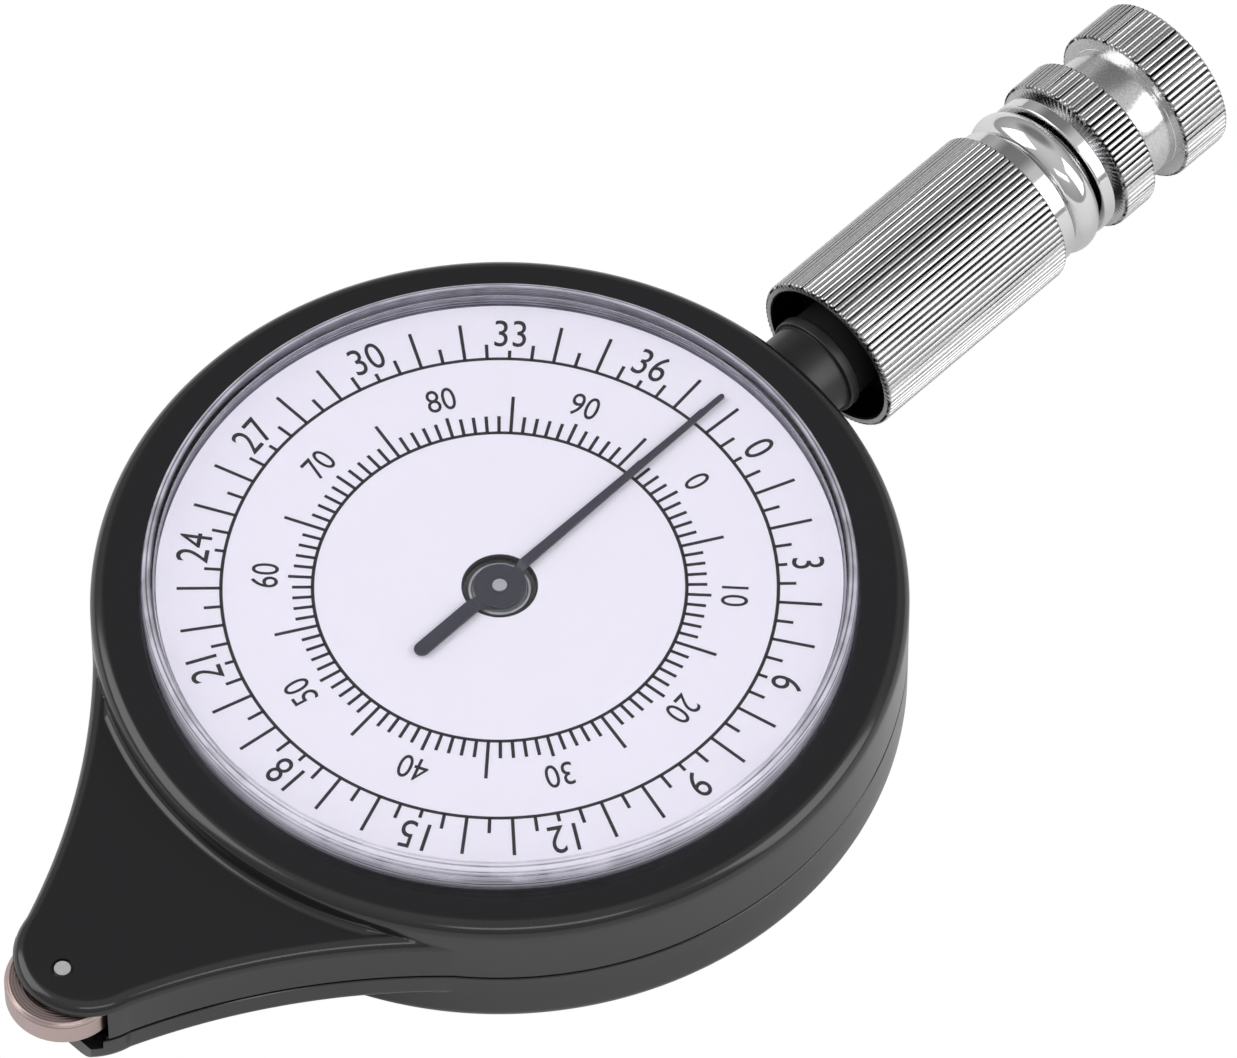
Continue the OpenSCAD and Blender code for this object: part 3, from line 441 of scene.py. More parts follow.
def turned_material(name, base, roughness, pitch_mm, centre):
    """Bright turned metal: rings about an upright axis, from a sine of the distance to it, vary
    the roughness and relief, as the marks of a lathe tool do."""
    made, add = empty_material(name)
    phase = add("Math", {0: axis_distance(add, centre, (1, 1, 0)),
                         1: FULL_TURN * per_metre(pitch_mm)}, operation="MULTIPLY")
    ring = add("Math", {0: phase}, operation="SINE")
    rough = add("MapRange", {"Value": ring, "From Min": -1.0, "To Min": roughness * 0.7,
                             "To Max": roughness * 1.3})
    relief = add("Bump", {"Height": ring, "Strength": 0.12, "Distance": 0.004 * MM})
    body = add("BsdfPrincipled", {"Base Color": base, "Metallic": 1.0, "Roughness": rough,
                                  "Normal": relief})
    add("OutputMaterial", {"Surface": body})
    return made


def knurled_material(name, base, painted_shade_colour, size):
    """Bright plate over knurling, with painted shade in the valleys. It sets in where the
    distance from the handle's axis falls below the crests, ends under the valleys, and a noise
    drawn out along the ridges makes some valleys darker than others. Inside the sleeve's bore
    the metal is painted dark as shade."""
    made, add = empty_material(name)
    coordinate = add("TexCoord", out="Object")
    distance = axis_distance(add, (0, 0, size.height), (1, 0, 1))
    crest, depth = size.ring, size.ridge_depth
    # Painted shade: the knurling's valleys are coloured dark
    valley = add("MapRange", {"Value": distance, "From Min": crest - 0.1 * depth,
                              "From Max": crest - 0.5 * depth}, interpolation_type="SMOOTHSTEP")
    above = add("MapRange", {"Value": distance, "From Min": crest - 1.5 * depth,
                             "From Max": crest - 1.2 * depth})
    # Painted shade: inside the sleeve's bore the metal is coloured dark
    inside = add("Math", {0: distance, 1: size.sleeve_bore + 0.1 * MM}, operation="LESS_THAN")
    mouth = add("Math", {0: add("SeparateXYZ", {0: coordinate}, "Y"), 1: size.sleeve_span[1]},
                operation="LESS_THAN")
    bore = add("Math", {0: inside, 1: mouth}, operation="MULTIPLY")
    drawn_out = add("Mapping", {"Vector": coordinate, "Scale": (1, 0.05, 1)})
    patchy = add("TexNoise", {"Vector": drawn_out, "Scale": per_metre(0.5), "Detail": 2.0})
    uneven = add("MapRange", {"Value": patchy, "From Min": 0.4, "From Max": 0.56,
                              "To Min": 0.4})
    painted_shade_amount = valley
    for other, how in (above, "MULTIPLY"), (uneven, "MULTIPLY"), (bore, "MAXIMUM"):
        painted_shade_amount = add("Math", {0: painted_shade_amount, 1: other}, operation=how)
    speckle = add("TexNoise", {"Vector": coordinate, "Scale": per_metre(0.12), "Detail": 2.0})
    worn = add("MapRange", {"Value": speckle, "From Min": 0.3, "From Max": 0.7, "To Min": 0.72})
    plate = add("VectorMath", {0: base[:3], 3: worn}, operation="SCALE")
    # The painted shade mixes the plate towards a dark colour
    tone = add("Mix", {0: painted_shade_amount, 6: plate, 7: painted_shade_colour}, 2, data_type="RGBA")
    rough = add("MapRange", {"Value": painted_shade_amount, "To Min": 0.2, "To Max": 0.5})
    relief = add("Bump", {"Height": speckle, "Strength": 0.25, "Distance": 0.01 * MM})
    body = add("BsdfPrincipled", {"Base Color": tone, "Metallic": 1.0, "Roughness": rough,
                                  "Normal": relief})
    add("OutputMaterial", {"Surface": body})
    return made


def crystal_material(name, tint, haze, groove, inner, pitch_mm):
    """Clear cast acrylic that bends light as a solid does and lets the lamps through unbent. Its
    skirt, past the inner radius, is hazy with turning marks: a one-way noise of the distance
    from the dial's axis plus the height sets dark lines between light ones, and a coarser noise
    makes the haze patchy."""
    made, add = empty_material(name)
    clear = add("BsdfPrincipled", {"Base Color": tint, "Roughness": 0.02, "IOR": ACRYLIC_IOR,
                                   "Transmission Weight": 1.0})
    coordinate = add("TexCoord", out="Object")
    distance = axis_distance(add, (0, 0, 0), (1, 1, 0))
    along = add("Math", {0: distance, 1: add("SeparateXYZ", {0: coordinate}, "Z")})
    mark = add("Math", {0: along, 1: per_metre(pitch_mm)}, operation="MULTIPLY")
    marks = add("TexNoise", {"W": mark, "Scale": 1.0, "Detail": 3.0}, noise_dimensions="1D")
    shown = add("MapRange", {"Value": marks, "From Min": 0.4, "From Max": 0.56})
    tone = add("Mix", {0: shown, 6: groove, 7: haze}, 2, data_type="RGBA")
    hazy = add("BsdfPrincipled", {"Base Color": tone, "Roughness": 0.3, "IOR": ACRYLIC_IOR})
    patchy = add("TexNoise", {"Vector": coordinate, "Scale": per_metre(2.0), "Detail": 2.0})
    band = add("MapRange", {"Value": patchy, "From Min": 0.35, "From Max": 0.65,
                            "To Min": 0.45, "To Max": 0.85})
    skirt = add("MapRange", {"Value": distance, "From Min": inner,
                             "From Max": inner + 0.15 * MM})
    amount = add("Math", {0: band, 1: skirt}, operation="MULTIPLY")
    cast = add("MixShader", {0: amount, 1: clear, 2: hazy})
    both = add("MixShader", {0: add("LightPath", out="Is Shadow Ray"), 1: cast,
                             2: add("BsdfTransparent", {"Color": tint})})
    add("OutputMaterial", {"Surface": both})
    return made


class MEASURER_OT_finish_frame(bpy.types.Operator):
    """Makes the materials and gives every CAD node the one of its slot"""
    bl_idname = "measurer.finish_frame"
    bl_label = "Finish the frame"

    def execute(self, context):
        scene = context.scene
        dial, handle, crystal = (scene.measurer_dial, scene.measurer_handle,
                                 scene.measurer_crystal)
        nickel = tuple(handle.nickel)
        # Slot, name, colour, roughness, how much that varies, grain in millimetres and relief
        for slot, name, base, *finish, more in (
                # Black ABS from a polished mould: a soft gloss with a faint orange peel
                ("case_black", "Moulded_black_ABS", scene.measurer_case.plastic, 0.17, 0.04,
                 1.6, 0.05, {"ior": 1.53}),
                # Acetal stem: black, a little duller than the case
                ("stem_black", "Moulded_black_acetal", handle.stem_colour, 0.36, 0.05, 0.8, 0.05,
                 {"ior": 1.48}),
                # Coated card: matt white with the slight unevenness of printing stock
                ("dial_white", "Coated_dial_card", dial.card_colour, 0.55, 0.05, 0.25, 0.04,
                 {"shade": 0.015}),
                # Printing ink: flat and dark
                ("ink", "Screen_printed_ink", dial.ink_colour, 0.6, 0.05, 0.2, 0.02,
                 {"shade": 0.1}),
                # Semi-gloss lacquer over brass sheet, sprayed
                ("pointer_grey", "Sprayed_grey_lacquer", scene.measurer_pointer.paint, 0.38,
                 0.06, 0.15, 0.06, {"shade": 0.12}),
                # Tumbled steel: bright and satin, so that small flat ends catch light all round
                ("bright_steel", "Tumbled_bright_steel", srgb("#e2e2e4"), 0.5, 0.06, 0.3, 0.05,
                 {"metallic": 1.0, "shade": 0.08}),
                # Nylon, natural: a dull cream white
                ("carrier_white", "Moulded_natural_nylon", srgb("#dcdbd3"), 0.5, 0.06, 0.6, 0.05,
                 {"ior": 1.53, "shade": 0.03}),
                # Clock brass, stamped and cut: warm and satin
                ("brass", "Cut_clock_brass", srgb("#cfae62"), 0.3, 0.08, 0.2, 0.06,
                 {"metallic": 1.0, "shade": 0.12}),
                # Nickel plate over a turned face: mirror-like, with faint streaks
                ("nickel_turned", "Turned_nickel_plate", nickel, 0.1, 0.04, 0.7, 0.03,
                 {"metallic": 1.0, "shade": 0.08})):
            MATERIALS[slot] = surface_material(name, tuple(base), *finish, **more)
        # Nickel plate over knurled brass: bright crests, with painted shade in the valleys and
        # inside the sleeve's bore
        MATERIALS["nickel"] = knurled_material("Knurled_nickel_plate", nickel, srgb("#1c1c1c"),
                                               handle)
        # Acrylic: clear over the dial, with a hazy turned skirt
        MATERIALS["clear_crystal"] = crystal_material(
            "Clear_moulded_acrylic", tuple(crystal.tint), srgb("#dad7e6"), srgb("#353145"),
            crystal.radius - crystal.wall, 0.11)
        # Turned nickel silver: a warm cast, with rings about the axis where the frame has it
        low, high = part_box("tracing_wheel")
        MATERIALS["wheel_metal"] = turned_material(
            "Turned_nickel_silver", tuple(scene.measurer_wheel.metal), 0.36, 0.16,
            (low + high) / 2)
        slots = {p["node"]: p["material_slot"] for p in frame["record"]["subparts"]}
        for name, node in frame["nodes"].items():
            node.data.materials.clear()
            node.data.materials.append(MATERIALS[slots[name]])
        return {"FINISHED"}


# ---------------------------------------------------------------------- case

SEAM_EDGE = 0.04 * MM  # Chamfer on the shells' edges at the seam
SLOT_GAP = 0.35 * MM  # Room round the tracing wheel in its slot
SLOT_STEP = 0.5 * MM  # Step from the tail's floor up to the slot's


def outline(turn, inset, drum, case, tip_y):
    """Distance from the dial's axis to the case's outline, drawn in by inset on the tail, for
    turns measured from the tail. A ray meets the tip circle at its far root and a flank circle
    at its near root: u.C -/+ sqrt((u.C)^2 - |C|^2 + R^2). The drum is the least that it can be."""
    drum_reach = case.drum + case.flank - case.bite
    tip_reach = case.tip + case.flank - case.bite
    flank_y = (drum_reach ** 2 - tip_reach ** 2 + tip_y ** 2) / (2 * tip_y)
    flank_x = math.sqrt(drum_reach ** 2 - flank_y ** 2)
    a = np.abs(turn)
    ux, uy = np.sin(a), -np.cos(a)
    tip_r, flank_r = case.tip - inset, case.flank + inset
    along = uy * tip_y
    inside = along ** 2 - tip_y ** 2 + tip_r ** 2
    to_tip = np.where((inside >= 0) & (along > 0), along + np.sqrt(np.maximum(inside, 0)), 0)
    along = ux * flank_x + uy * flank_y
    inside = along ** 2 - flank_x ** 2 - flank_y ** 2 + flank_r ** 2
    met = (inside >= 0) & (along > 0) & (a < math.atan2(flank_x, -flank_y))
    to_flank = np.where(met, along - np.sqrt(np.maximum(inside, 0)), 0)
    touch_x = flank_x * tip_r / tip_reach
    touch_y = tip_y + (flank_y - tip_y) * tip_r / tip_reach
    on_tip = a <= math.atan2(touch_x, -touch_y)
    return np.maximum(np.where(on_tip, to_tip, np.maximum(to_flank, to_tip)), drum)


def ray_turns(steps):
    """Turns from the tail, close together where the tail is narrow and at each given step in
    the shell's edge, where two rays stand a hair apart so that the step is upright."""
    hair = 0.004
    half = np.concatenate([np.arange(0, 10, 0.1), np.arange(10, 46, 0.25), np.arange(46, 180, 1.0)]
                          + [[s - hair, s + hair] for s in steps])
    half = np.unique(np.round(half, 5))
    return np.round(np.radians(np.concatenate([-half[:0:-1], half, [180.0]])), 9)


def along_rays(turns, pairs):
    """Ray-by-column grid of (distance, z) pairs, each a number or one value per ray: a point is
    distance * sin and -distance * cos of its ray's turn from the tail."""
    radius, z = (np.stack([np.broadcast_to(pair[k], turns.shape) for pair in pairs], 1)
                 for k in (0, 1))
    return np.stack([radius * np.sin(turns)[:, None], -radius * np.cos(turns)[:, None], z], -1)


def quarter(count):
    """(1 - sin t, 1 - cos t) for even steps of t through a quarter turn: a rounded edge. The
    single points beside one in the shells' profiles keep the shading of the flats flat."""
    t = np.linspace(0, np.pi / 2, count)
    return np.stack([1 - np.sin(t), 1 - np.cos(t)], 1)


def front_points(case, slot_open, tip_y):
    """Front shell as one closed profile for each ray: lip, bezel, shoulder, drum wall, root
    fillet, tail top, rounded tail edge, side wall, and back along the inside. The tail's edge
    point at inset d = e(1 - sin t) has height top - e(1 - cos t), and any point that would lie
    inside the drum stays on its wall."""
    turns = ray_turns([slot_open])
    reach = partial(outline, turns, case=case, tip_y=tip_y)
    drum, top, ease, shoulder = case.drum, case.bezel_top, case.ease, case.shoulder
    edge, level, hollow = case.tail_round, case.tail_top, case.drum - case.wall
    ceiling = level - case.tail_plate
    open_tip = np.abs(turns) < math.radians(slot_open)
    low = np.where(open_tip, ceiling, case.seam)
    # The fillet shrinks to nothing where the tail's flat top leaves the drum
    flat_end = reach(edge, drum)
    fillet = np.clip(flat_end - drum, 0, case.fillet)
    start = drum + fillet
    side = reach(0, drum)
    inner = np.minimum(reach(case.tail_wall, hollow), side - 0.1 * MM)
    return along_rays(turns, [
        (case.opening, top - case.lip), (case.opening, top - 1.3 * ease),
        *((case.opening + ease * c, top - ease * s) for s, c in quarter(5)),
        (case.opening + 1.6 * ease, top), (drum - 1.1 * shoulder, top),
        *((drum - shoulder * s, top - shoulder * c) for s, c in quarter(13)),
        (drum, level + 1.08 * fillet + 0.01 * MM),
        *((drum + fillet * c, level + fillet * s) for s, c in quarter(9)),
        *((start + share * (flat_end - start), level) for share in (0.06, 0.94)),
        *((reach(edge * s, drum), np.maximum(level - edge * c, low)) for s, c in quarter(13)),
        (side, low + 0.1 * MM), (side, low + SEAM_EDGE * ~open_tip), (side - SEAM_EDGE, low),
        (inner, low), (inner, ceiling), (hollow, ceiling), (hollow, top - case.lip)])


def rear_points(case, slot_side, floor_side, wheel_y, tip_y):
    """Rear shell as one closed profile for each ray, from the middle of its back, round the
    rear edge, up the wall, under and round the tail's lower edge, up to the groove under the
    seam, and back inside to the middle. Past the axle the tail is cut off straight across, so
    that a ray ends at cut / cos(turn)."""
    turns = ray_turns([slot_side, floor_side])
    reach = partial(outline, turns, case=case, tip_y=tip_y)
    drum, level, edge = case.drum, case.tail_under, case.tail_under_round
    hollow, floor, rear = drum - case.wall, level + case.tail_plate, case.rear_round
    a = np.degrees(np.abs(turns))
    # Rays wider than the tail are left uncut, at a metre
    far = np.where(a < 30, (case.rear_run - wheel_y) / np.maximum(np.cos(turns), 0.2), 1.0)
    in_slot = a < slot_side
    rim = np.where(a < floor_side, floor, np.where(in_slot, floor + SLOT_STEP, case.seam))
    flat_end = np.minimum(reach(edge, drum), far)
    side = np.minimum(reach(0, drum), far)
    inner = np.minimum(reach(case.tail_wall, hollow), side - 0.2 * MM)
    ledge = case.seam - case.seam_gap
    depth = np.where(in_slot, 0.0, case.seam_depth)
    return along_rays(turns, [
        (0.0, 0.0), (0.5 * drum, 0.0), (drum - 1.12 * rear, 0.0),
        *((drum - rear * s, rear * c) for s, c in quarter(11)),
        (drum, level - 0.02 * MM), (drum, level),
        *((drum + share * (flat_end - drum), level) for share in (0.05, 0.95)),
        *((np.minimum(reach(edge * s, drum), far), level + edge * c)
          for s, c in quarter(11)),
        (side, np.minimum(ledge - SEAM_EDGE, rim)), (side - 0.25 * depth, np.minimum(ledge, rim)),
        (side - depth, np.minimum(ledge, rim)), (side - depth, rim),
        (inner, rim), (inner, floor), (hollow, floor), (hollow, case.floor), (0.0, case.floor)])


def cut_recess(made, centre, radius, low, high):
    """Cuts a round recess down into a piece, with a closed turned tool."""
    tool = mesh_object("recess_tool", [solid_of_turn(
        np.array([[0, low], [radius, low], [radius, high], [0, high]]), 96)])
    tool.data.transform(Matrix.Translation(centre))
    cut = made.modifiers.new("recess", "BOOLEAN")
    cut.operation, cut.solver, cut.object = "DIFFERENCE", "EXACT", tool
    mesh = evaluated_mesh(made)
    made.modifiers.clear()
    made.data = mesh
    crisp(mesh, SHARP_EDGE)
    bpy.data.objects.remove(tool)


class MEASURER_OT_build_case(bpy.types.Operator):
    """Builds the smooth front and rear shells"""
    bl_idname = "measurer.build_case"
    bl_label = "Build the case"

    def execute(self, context):
        case = context.scene.measurer_case
        low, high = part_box("tracing_wheel")
        wheel_y, slot_r = (low.y + high.y) / 2, (high.x - low.x) / 2 + SLOT_GAP
        tip_y = wheel_y + case.tip_back
        # The slot's circle leaves the tip's circle where both are as far from their middles
        cross_y = ((case.tip ** 2 - slot_r ** 2 + wheel_y ** 2 - tip_y ** 2)
                   / (2 * (wheel_y - tip_y)))
        cross_x = math.sqrt(slot_r ** 2 - (cross_y - wheel_y) ** 2)
        slot_open = math.degrees(math.atan2(cross_x, -cross_y))
        front = mesh_object("shell_front", [surface(front_points(case, slot_open, tip_y))])
        cut_recess(front, Vector((0, wheel_y, 0)), case.recess,
                   case.tail_top - case.recess_depth, case.tail_top + 1 * MM)
        place(front, "case", "front_shell", "case_black")
        # Where the straight end meets the slot's circle and the hollow's round end
        cut_y = -wheel_y + case.rear_run
        inner_tip = case.tip - case.tail_wall
        slot_side, floor_side = (math.degrees(math.atan2(math.sqrt(max(square, 0)), cut_y))
                                 for square in (slot_r ** 2 - case.rear_run ** 2,
                                                inner_tip ** 2 - (cut_y + tip_y) ** 2))
        rear = mesh_object("shell_rear", [surface(
            rear_points(case, slot_side, floor_side, wheel_y, tip_y), True, False)])
        place(rear, "case", "rear_shell", "case_black")
        return {"FINISHED"}


# ---------------------------------------------------------------------- dial

def bars(turns, near, far, width, low, high):
    """One thin box for each turn, clockwise from the handle's side: it runs from the near to the
    far radius and is the given width across."""
    turns = np.asarray(turns)[:, None]
    near, far = (np.broadcast_to(v, turns.shape) for v in (near, far))
    radial = np.concatenate([near, far, far, near], 1)
    across = np.array([[-1, -1, 1, 1]]) * width / 2
    x = radial * np.sin(turns) + across * np.cos(turns)
    y = radial * np.cos(turns) - across * np.sin(turns)
    points = np.concatenate([np.stack([x, y, np.full_like(x, z)], -1) for z in (low, high)], 1)
    one = np.array([[0, 1, 2, 3], [7, 6, 5, 4], [0, 4, 5, 1], [1, 5, 6, 2], [2, 6, 7, 3],
                    [3, 7, 4, 0]])
    faces = (one[None] + 8 * np.arange(len(turns))[:, None, None]).reshape(-1, 4)
    return points.reshape(-1, 3), faces


def circle_line(radius, width, low, high):
    """Thin printed circle as a closed ring."""
    a, b = radius - width / 2, radius + width / 2
    return solid_of_turn(np.array([[a, low], [b, low], [b, high], [a, high]]), 360)


def numeral(text, height, narrow, low, high):
    """(points, faces) of a number in the plain built-in typeface, centred on the origin, with
    the given height of its digits, and as thick as the ink."""
    curve = bpy.data.curves.new("numeral", "FONT")
    curve.body, curve.resolution_u, curve.extrude = text, 5, 0.5
    made = linked("numeral", curve)
    bpy.context.view_layer.update()
    mesh = evaluated_mesh(made)
    mesh.calc_loop_triangles()
    co = np.zeros(len(mesh.vertices) * 3)
    mesh.vertices.foreach_get("co", co)
    co = co.reshape(-1, 3)
    faces = np.zeros(len(mesh.loop_triangles) * 3, int)
    mesh.loop_triangles.foreach_get("vertices", faces)
    bpy.data.objects.remove(made)
    bpy.data.curves.remove(curve)
    bpy.data.meshes.remove(mesh)
    scale = height / np.ptp(co[:, 1])
    flat = (co - (co.max(0) + co.min(0)) / 2) * [scale * narrow, scale, 0]
    return flat + [0, 0, 1] * (low + (co[:, 2:] > 0) * (high - low)), faces.reshape(-1, 3)


def around(part, turn, radius):
    """A flat part carried out to a radius and turned clockwise, its top pointing outwards."""
    co, faces = part
    x, y = co[:, 0], co[:, 1] + radius
    return np.stack([x * math.cos(turn) + y * math.sin(turn),
                     -x * math.sin(turn) + y * math.cos(turn), co[:, 2]], 1), faces


class MEASURER_OT_build_dial(bpy.types.Operator):
    """Builds the dial card with its two printed scales and plain numbers, and the eyelet"""
    bl_idname = "measurer.build_dial"
    bl_label = "Build the dial"

    def execute(self, context):
        dial = context.scene.measurer_dial
        low, high = dial.face + 0.001 * MM, dial.face + dial.ink
        seat = dial.face - dial.card
        card_edge = 0.06 * MM
        place(turned("dial_card", [
            (dial.hole, seat, 0), (dial.radius, seat, card_edge),
            (dial.radius, dial.face, card_edge), (dial.hole, dial.face, 0)], 4, 256),
            "case", "dial_plate", "dial_white")

        # Both scales' circles, and painted shade of the card's hole: a dark ring on the face round
        # it and a dark skin lining its wall, in the ink
        skin = 0.015 * MM
        parts = [circle_line(*ring, high) for ring in (
            (dial.outer_ring, dial.line, low), (dial.inner_ring, dial.line, low),
            # Painted shade of the hole: a ring on the face and a skin on its wall
            (dial.hole + dial.line / 4, dial.line / 2, low),
            (dial.hole - 0.6 * skin, skin, seat + skin))]
        halves, ones = np.arange(2 * dial.outer_count), np.arange(dial.inner_count)
        for ring, marks, numbered, longer, runs in (
                (dial.outer_ring, halves, halves % (2 * dial.outer_step) == 0, halves % 2 == 0,
                 (dial.outer_short, dial.outer_long, dial.outer_half)),
                (dial.inner_ring, ones, ones % dial.inner_step == 0,
                 ones % dial.inner_step == dial.inner_step // 2,
                 (dial.inner_ten, dial.inner_long, dial.inner_short))):
            run = np.where(numbered, runs[0], np.where(longer, runs[1], runs[2]))[:, None]
            turns = dial.zero + marks * FULL_TURN / len(marks)
            parts.append(bars(turns, ring, ring + run, dial.line, low, high))
        for total, step, radius, size in (
                (dial.outer_count, dial.outer_step, dial.outer_text, dial.outer_height),
                (dial.inner_count, dial.inner_step, dial.inner_text, dial.inner_height)):
            for n in range(0, total, step):
                part = numeral(str(n), size, dial.narrow, low, high)
                parts.append(around(part, dial.zero + n * FULL_TURN / total, radius))
        place(mesh_object("dial_print", parts), "case", None, "dial_white", "ink")

        # Rolled eyelet, sunk in the card's hole: a rounded rim, a shallow dish and a barrel below
        top = seat + dial.eyelet_height
        barrel, barrel_end, dish = 1 * MM, seat - 1.5 * MM, top - 0.05 * MM
        place(turned("eyelet_ring", [
            (dial.eyelet_bore, barrel_end, 0), (barrel, barrel_end, 0), (barrel, seat, 0),
            (dial.eyelet, seat, 0), (dial.eyelet, top, 0.07 * MM),
            (dial.eyelet - 0.16 * MM, top, 0.04 * MM), (dial.eyelet - 0.24 * MM, dish, 0.04 * MM),
            (dial.eyelet_bore, dish, 0)], 6, 192), "case", "dial_eyelet", "bright_steel")
        return {"FINISHED"}


class MEASURER_OT_build_crystal(bpy.types.Operator):
    """Builds the clear crystal over the dial"""
    bl_idname = "measurer.build_crystal"
    bl_label = "Build the crystal"

    def execute(self, context):
        size = context.scene.measurer_crystal
        inner, under, corner = size.radius - size.wall, size.top - size.thick, 0.05 * MM
        place(turned("crystal_cap", [
            (0, size.top, 0), (size.radius, size.top, size.edge),
            (size.radius, size.flange_top, corner), (size.flange, size.flange_top, corner),
            (size.flange, size.flange_low, corner), (inner, size.flange_low, corner),
            (inner, under, size.inner_edge), (0, under, 0)], 10, 360),
            "case", "crystal", "clear_crystal")
        return {"FINISHED"}


# ------------------------------------------------------------------- pointer

def bar_along_y(stations, half_widths, rise, low, high, turns=24):
    """Bar whose cross-section is a squared-off ellipse: x = w * sign(cos)|cos|^0.4 and z the
    same with sin about mid-height. Its width and rise follow the stations, and each end closes
    to a point."""
    turn = np.linspace(0, FULL_TURN, turns, endpoint=False)
    across, lift = (np.sign(v) * np.abs(v) ** 0.4 for v in (np.cos(turn), np.sin(turn)))
    w = np.asarray(half_widths)[:, None]
    tall = np.where(w > 0, (high - low) / 2, 0)
    middle = (low + high) / 2 + np.asarray(rise)[:, None]
    y = np.broadcast_to(np.asarray(stations)[:, None], (len(w), turns))
    return surface(np.stack([w * across, y, middle + tall * lift], -1), False, True)


class MEASURER_OT_build_pointer(bpy.types.Operator):
    """Builds the pointer with its hub disc and counterweight end"""
    bl_idname = "measurer.build_pointer"
    bl_label = "Build the pointer"

    def execute(self, context):
        size = context.scene.measurer_pointer
        top = size.low + size.thick
        # Both arms start inside the hub, keep level to the bend, and rise over the dial's edge
        bend = np.linspace(size.bend_in, size.bend_out, 9)
        bend_rise = 0.5 - 0.5 * np.cos(np.linspace(0, np.pi, 9))
        # A round end: the half-width is w * cos of the turn and the station moves out by w * sin
        t = np.linspace(0, np.pi / 2, 7)
        closing = np.append(np.cos(t[:-1]), 0)
        parts = []
        for way, root, end, reach in ((1, size.root / 2, size.tip / 2, size.reach),
                                      (-1, size.back_width / 2, size.back_width / 2, size.back)):
            taper = np.interp(bend, [0, reach - end], [root, end])
            parts.append(bar_along_y(
                way * np.concatenate([[0, size.hub * 0.6], bend, reach - end + end * np.sin(t)]),
                np.concatenate([[0, root], taper, end * closing]),
                size.lift * np.concatenate([[0, 0], bend_rise, np.ones(len(t))]), size.low, top))
        parts.append(solid_of_turn(rounded([
            (size.bore, size.low, 0), (size.hub, size.low, 0.05 * MM),
            (size.hub, top, 0.07 * MM), (size.bore, top, 0.03 * MM)], 5), 160))
        pointer = mesh_object("pointer_needle", parts, 40)
        pointer.data.transform(Matrix.Rotation(size.rest, 4, "Z"))
        place(pointer, "centre_wheel", "pointer", "pointer_grey")
        return {"FINISHED"}


# --------------------------------------------------------------------- wheel

class MEASURER_OT_build_wheel(bpy.types.Operator):
    """Builds the tracing wheel"""
    bl_idname = "measurer.build_wheel"
    bl_label = "Build the tracing wheel"

    def execute(self, context):
        size = context.scene.measurer_wheel
        low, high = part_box("tracing_wheel")
        dish, corner = 0.3 * size.radius, 0.05 * MM
        # From the bore over one face to the rim, as (radius, distance from the face, rounding)
        half = [(size.bore, size.groove, 0), (size.radius - 1.1 * dish, size.groove, corner),
                (size.radius - dish, 0, corner), (size.radius - size.edge, 0, 2 * corner),
                (size.radius, size.edge, 4 * corner)]
        wheel = turned("wheel_turned", [(r, low.z + s, turn) for r, s, turn in half]
                       + [(r, high.z - s, turn) for r, s, turn in half[::-1]], 6, 256)
        wheel.data.transform(Matrix.Translation(((low.x + high.x) / 2, (low.y + high.y) / 2, 0)))
        place(wheel, "wheel", "tracing_wheel", "wheel_metal")
        return {"FINISHED"}


# -------------------------------------------------------------------- handle

def knurled(name, span, radius, size, bore, inner=None, samples=8):
    """Knurled band about the handle's axis: a chamfer at each end, ridges between them, and a
    bore with broken edges, or with the given inner points past its first edge. On the ridges the
    radius falls from the crest by depth * (1 - ridge), and ridge is a triangle wave of the turn,
    1 on a crest and 0 in a valley, raised and cut off at 1 so that crests are broad."""
    rim, depth, (start, end) = size.rim, size.ridge_depth, span
    inner = inner or [(bore, start + BORE_EDGE), (bore + BORE_EDGE, start)]
    # Each end as (radius, distance from the end, whether ridges run there)
    half = [(radius - depth - 0.05 * MM, 0, 0), (radius - 0.5 * rim, 0.15 * rim, 1),
            (radius - 0.1 * rim, 0.6 * rim, 1), (radius, rim, 1), (radius, 2 * rim, 1)]
    r, station, ridged = np.array(
        [(r, start + s, flag) for r, s, flag in half]
        + [(r, end - s, flag) for r, s, flag in half[::-1]]
        + [(r, s, 0) for r, s in [(bore + BORE_EDGE, end), (bore, end - BORE_EDGE)] + inner]).T
    segments = size.ridges * samples
    turn = np.linspace(0, FULL_TURN, segments, endpoint=False)[:, None]
    ridge = np.minimum(size.crest * np.arccos(np.cos(size.ridges * turn)) / np.pi, 1)
    points = revolve(r - depth * (1 - ridge) * ridged, station, segments, size.height)
    return mesh_object(name, [surface(points)], 25)


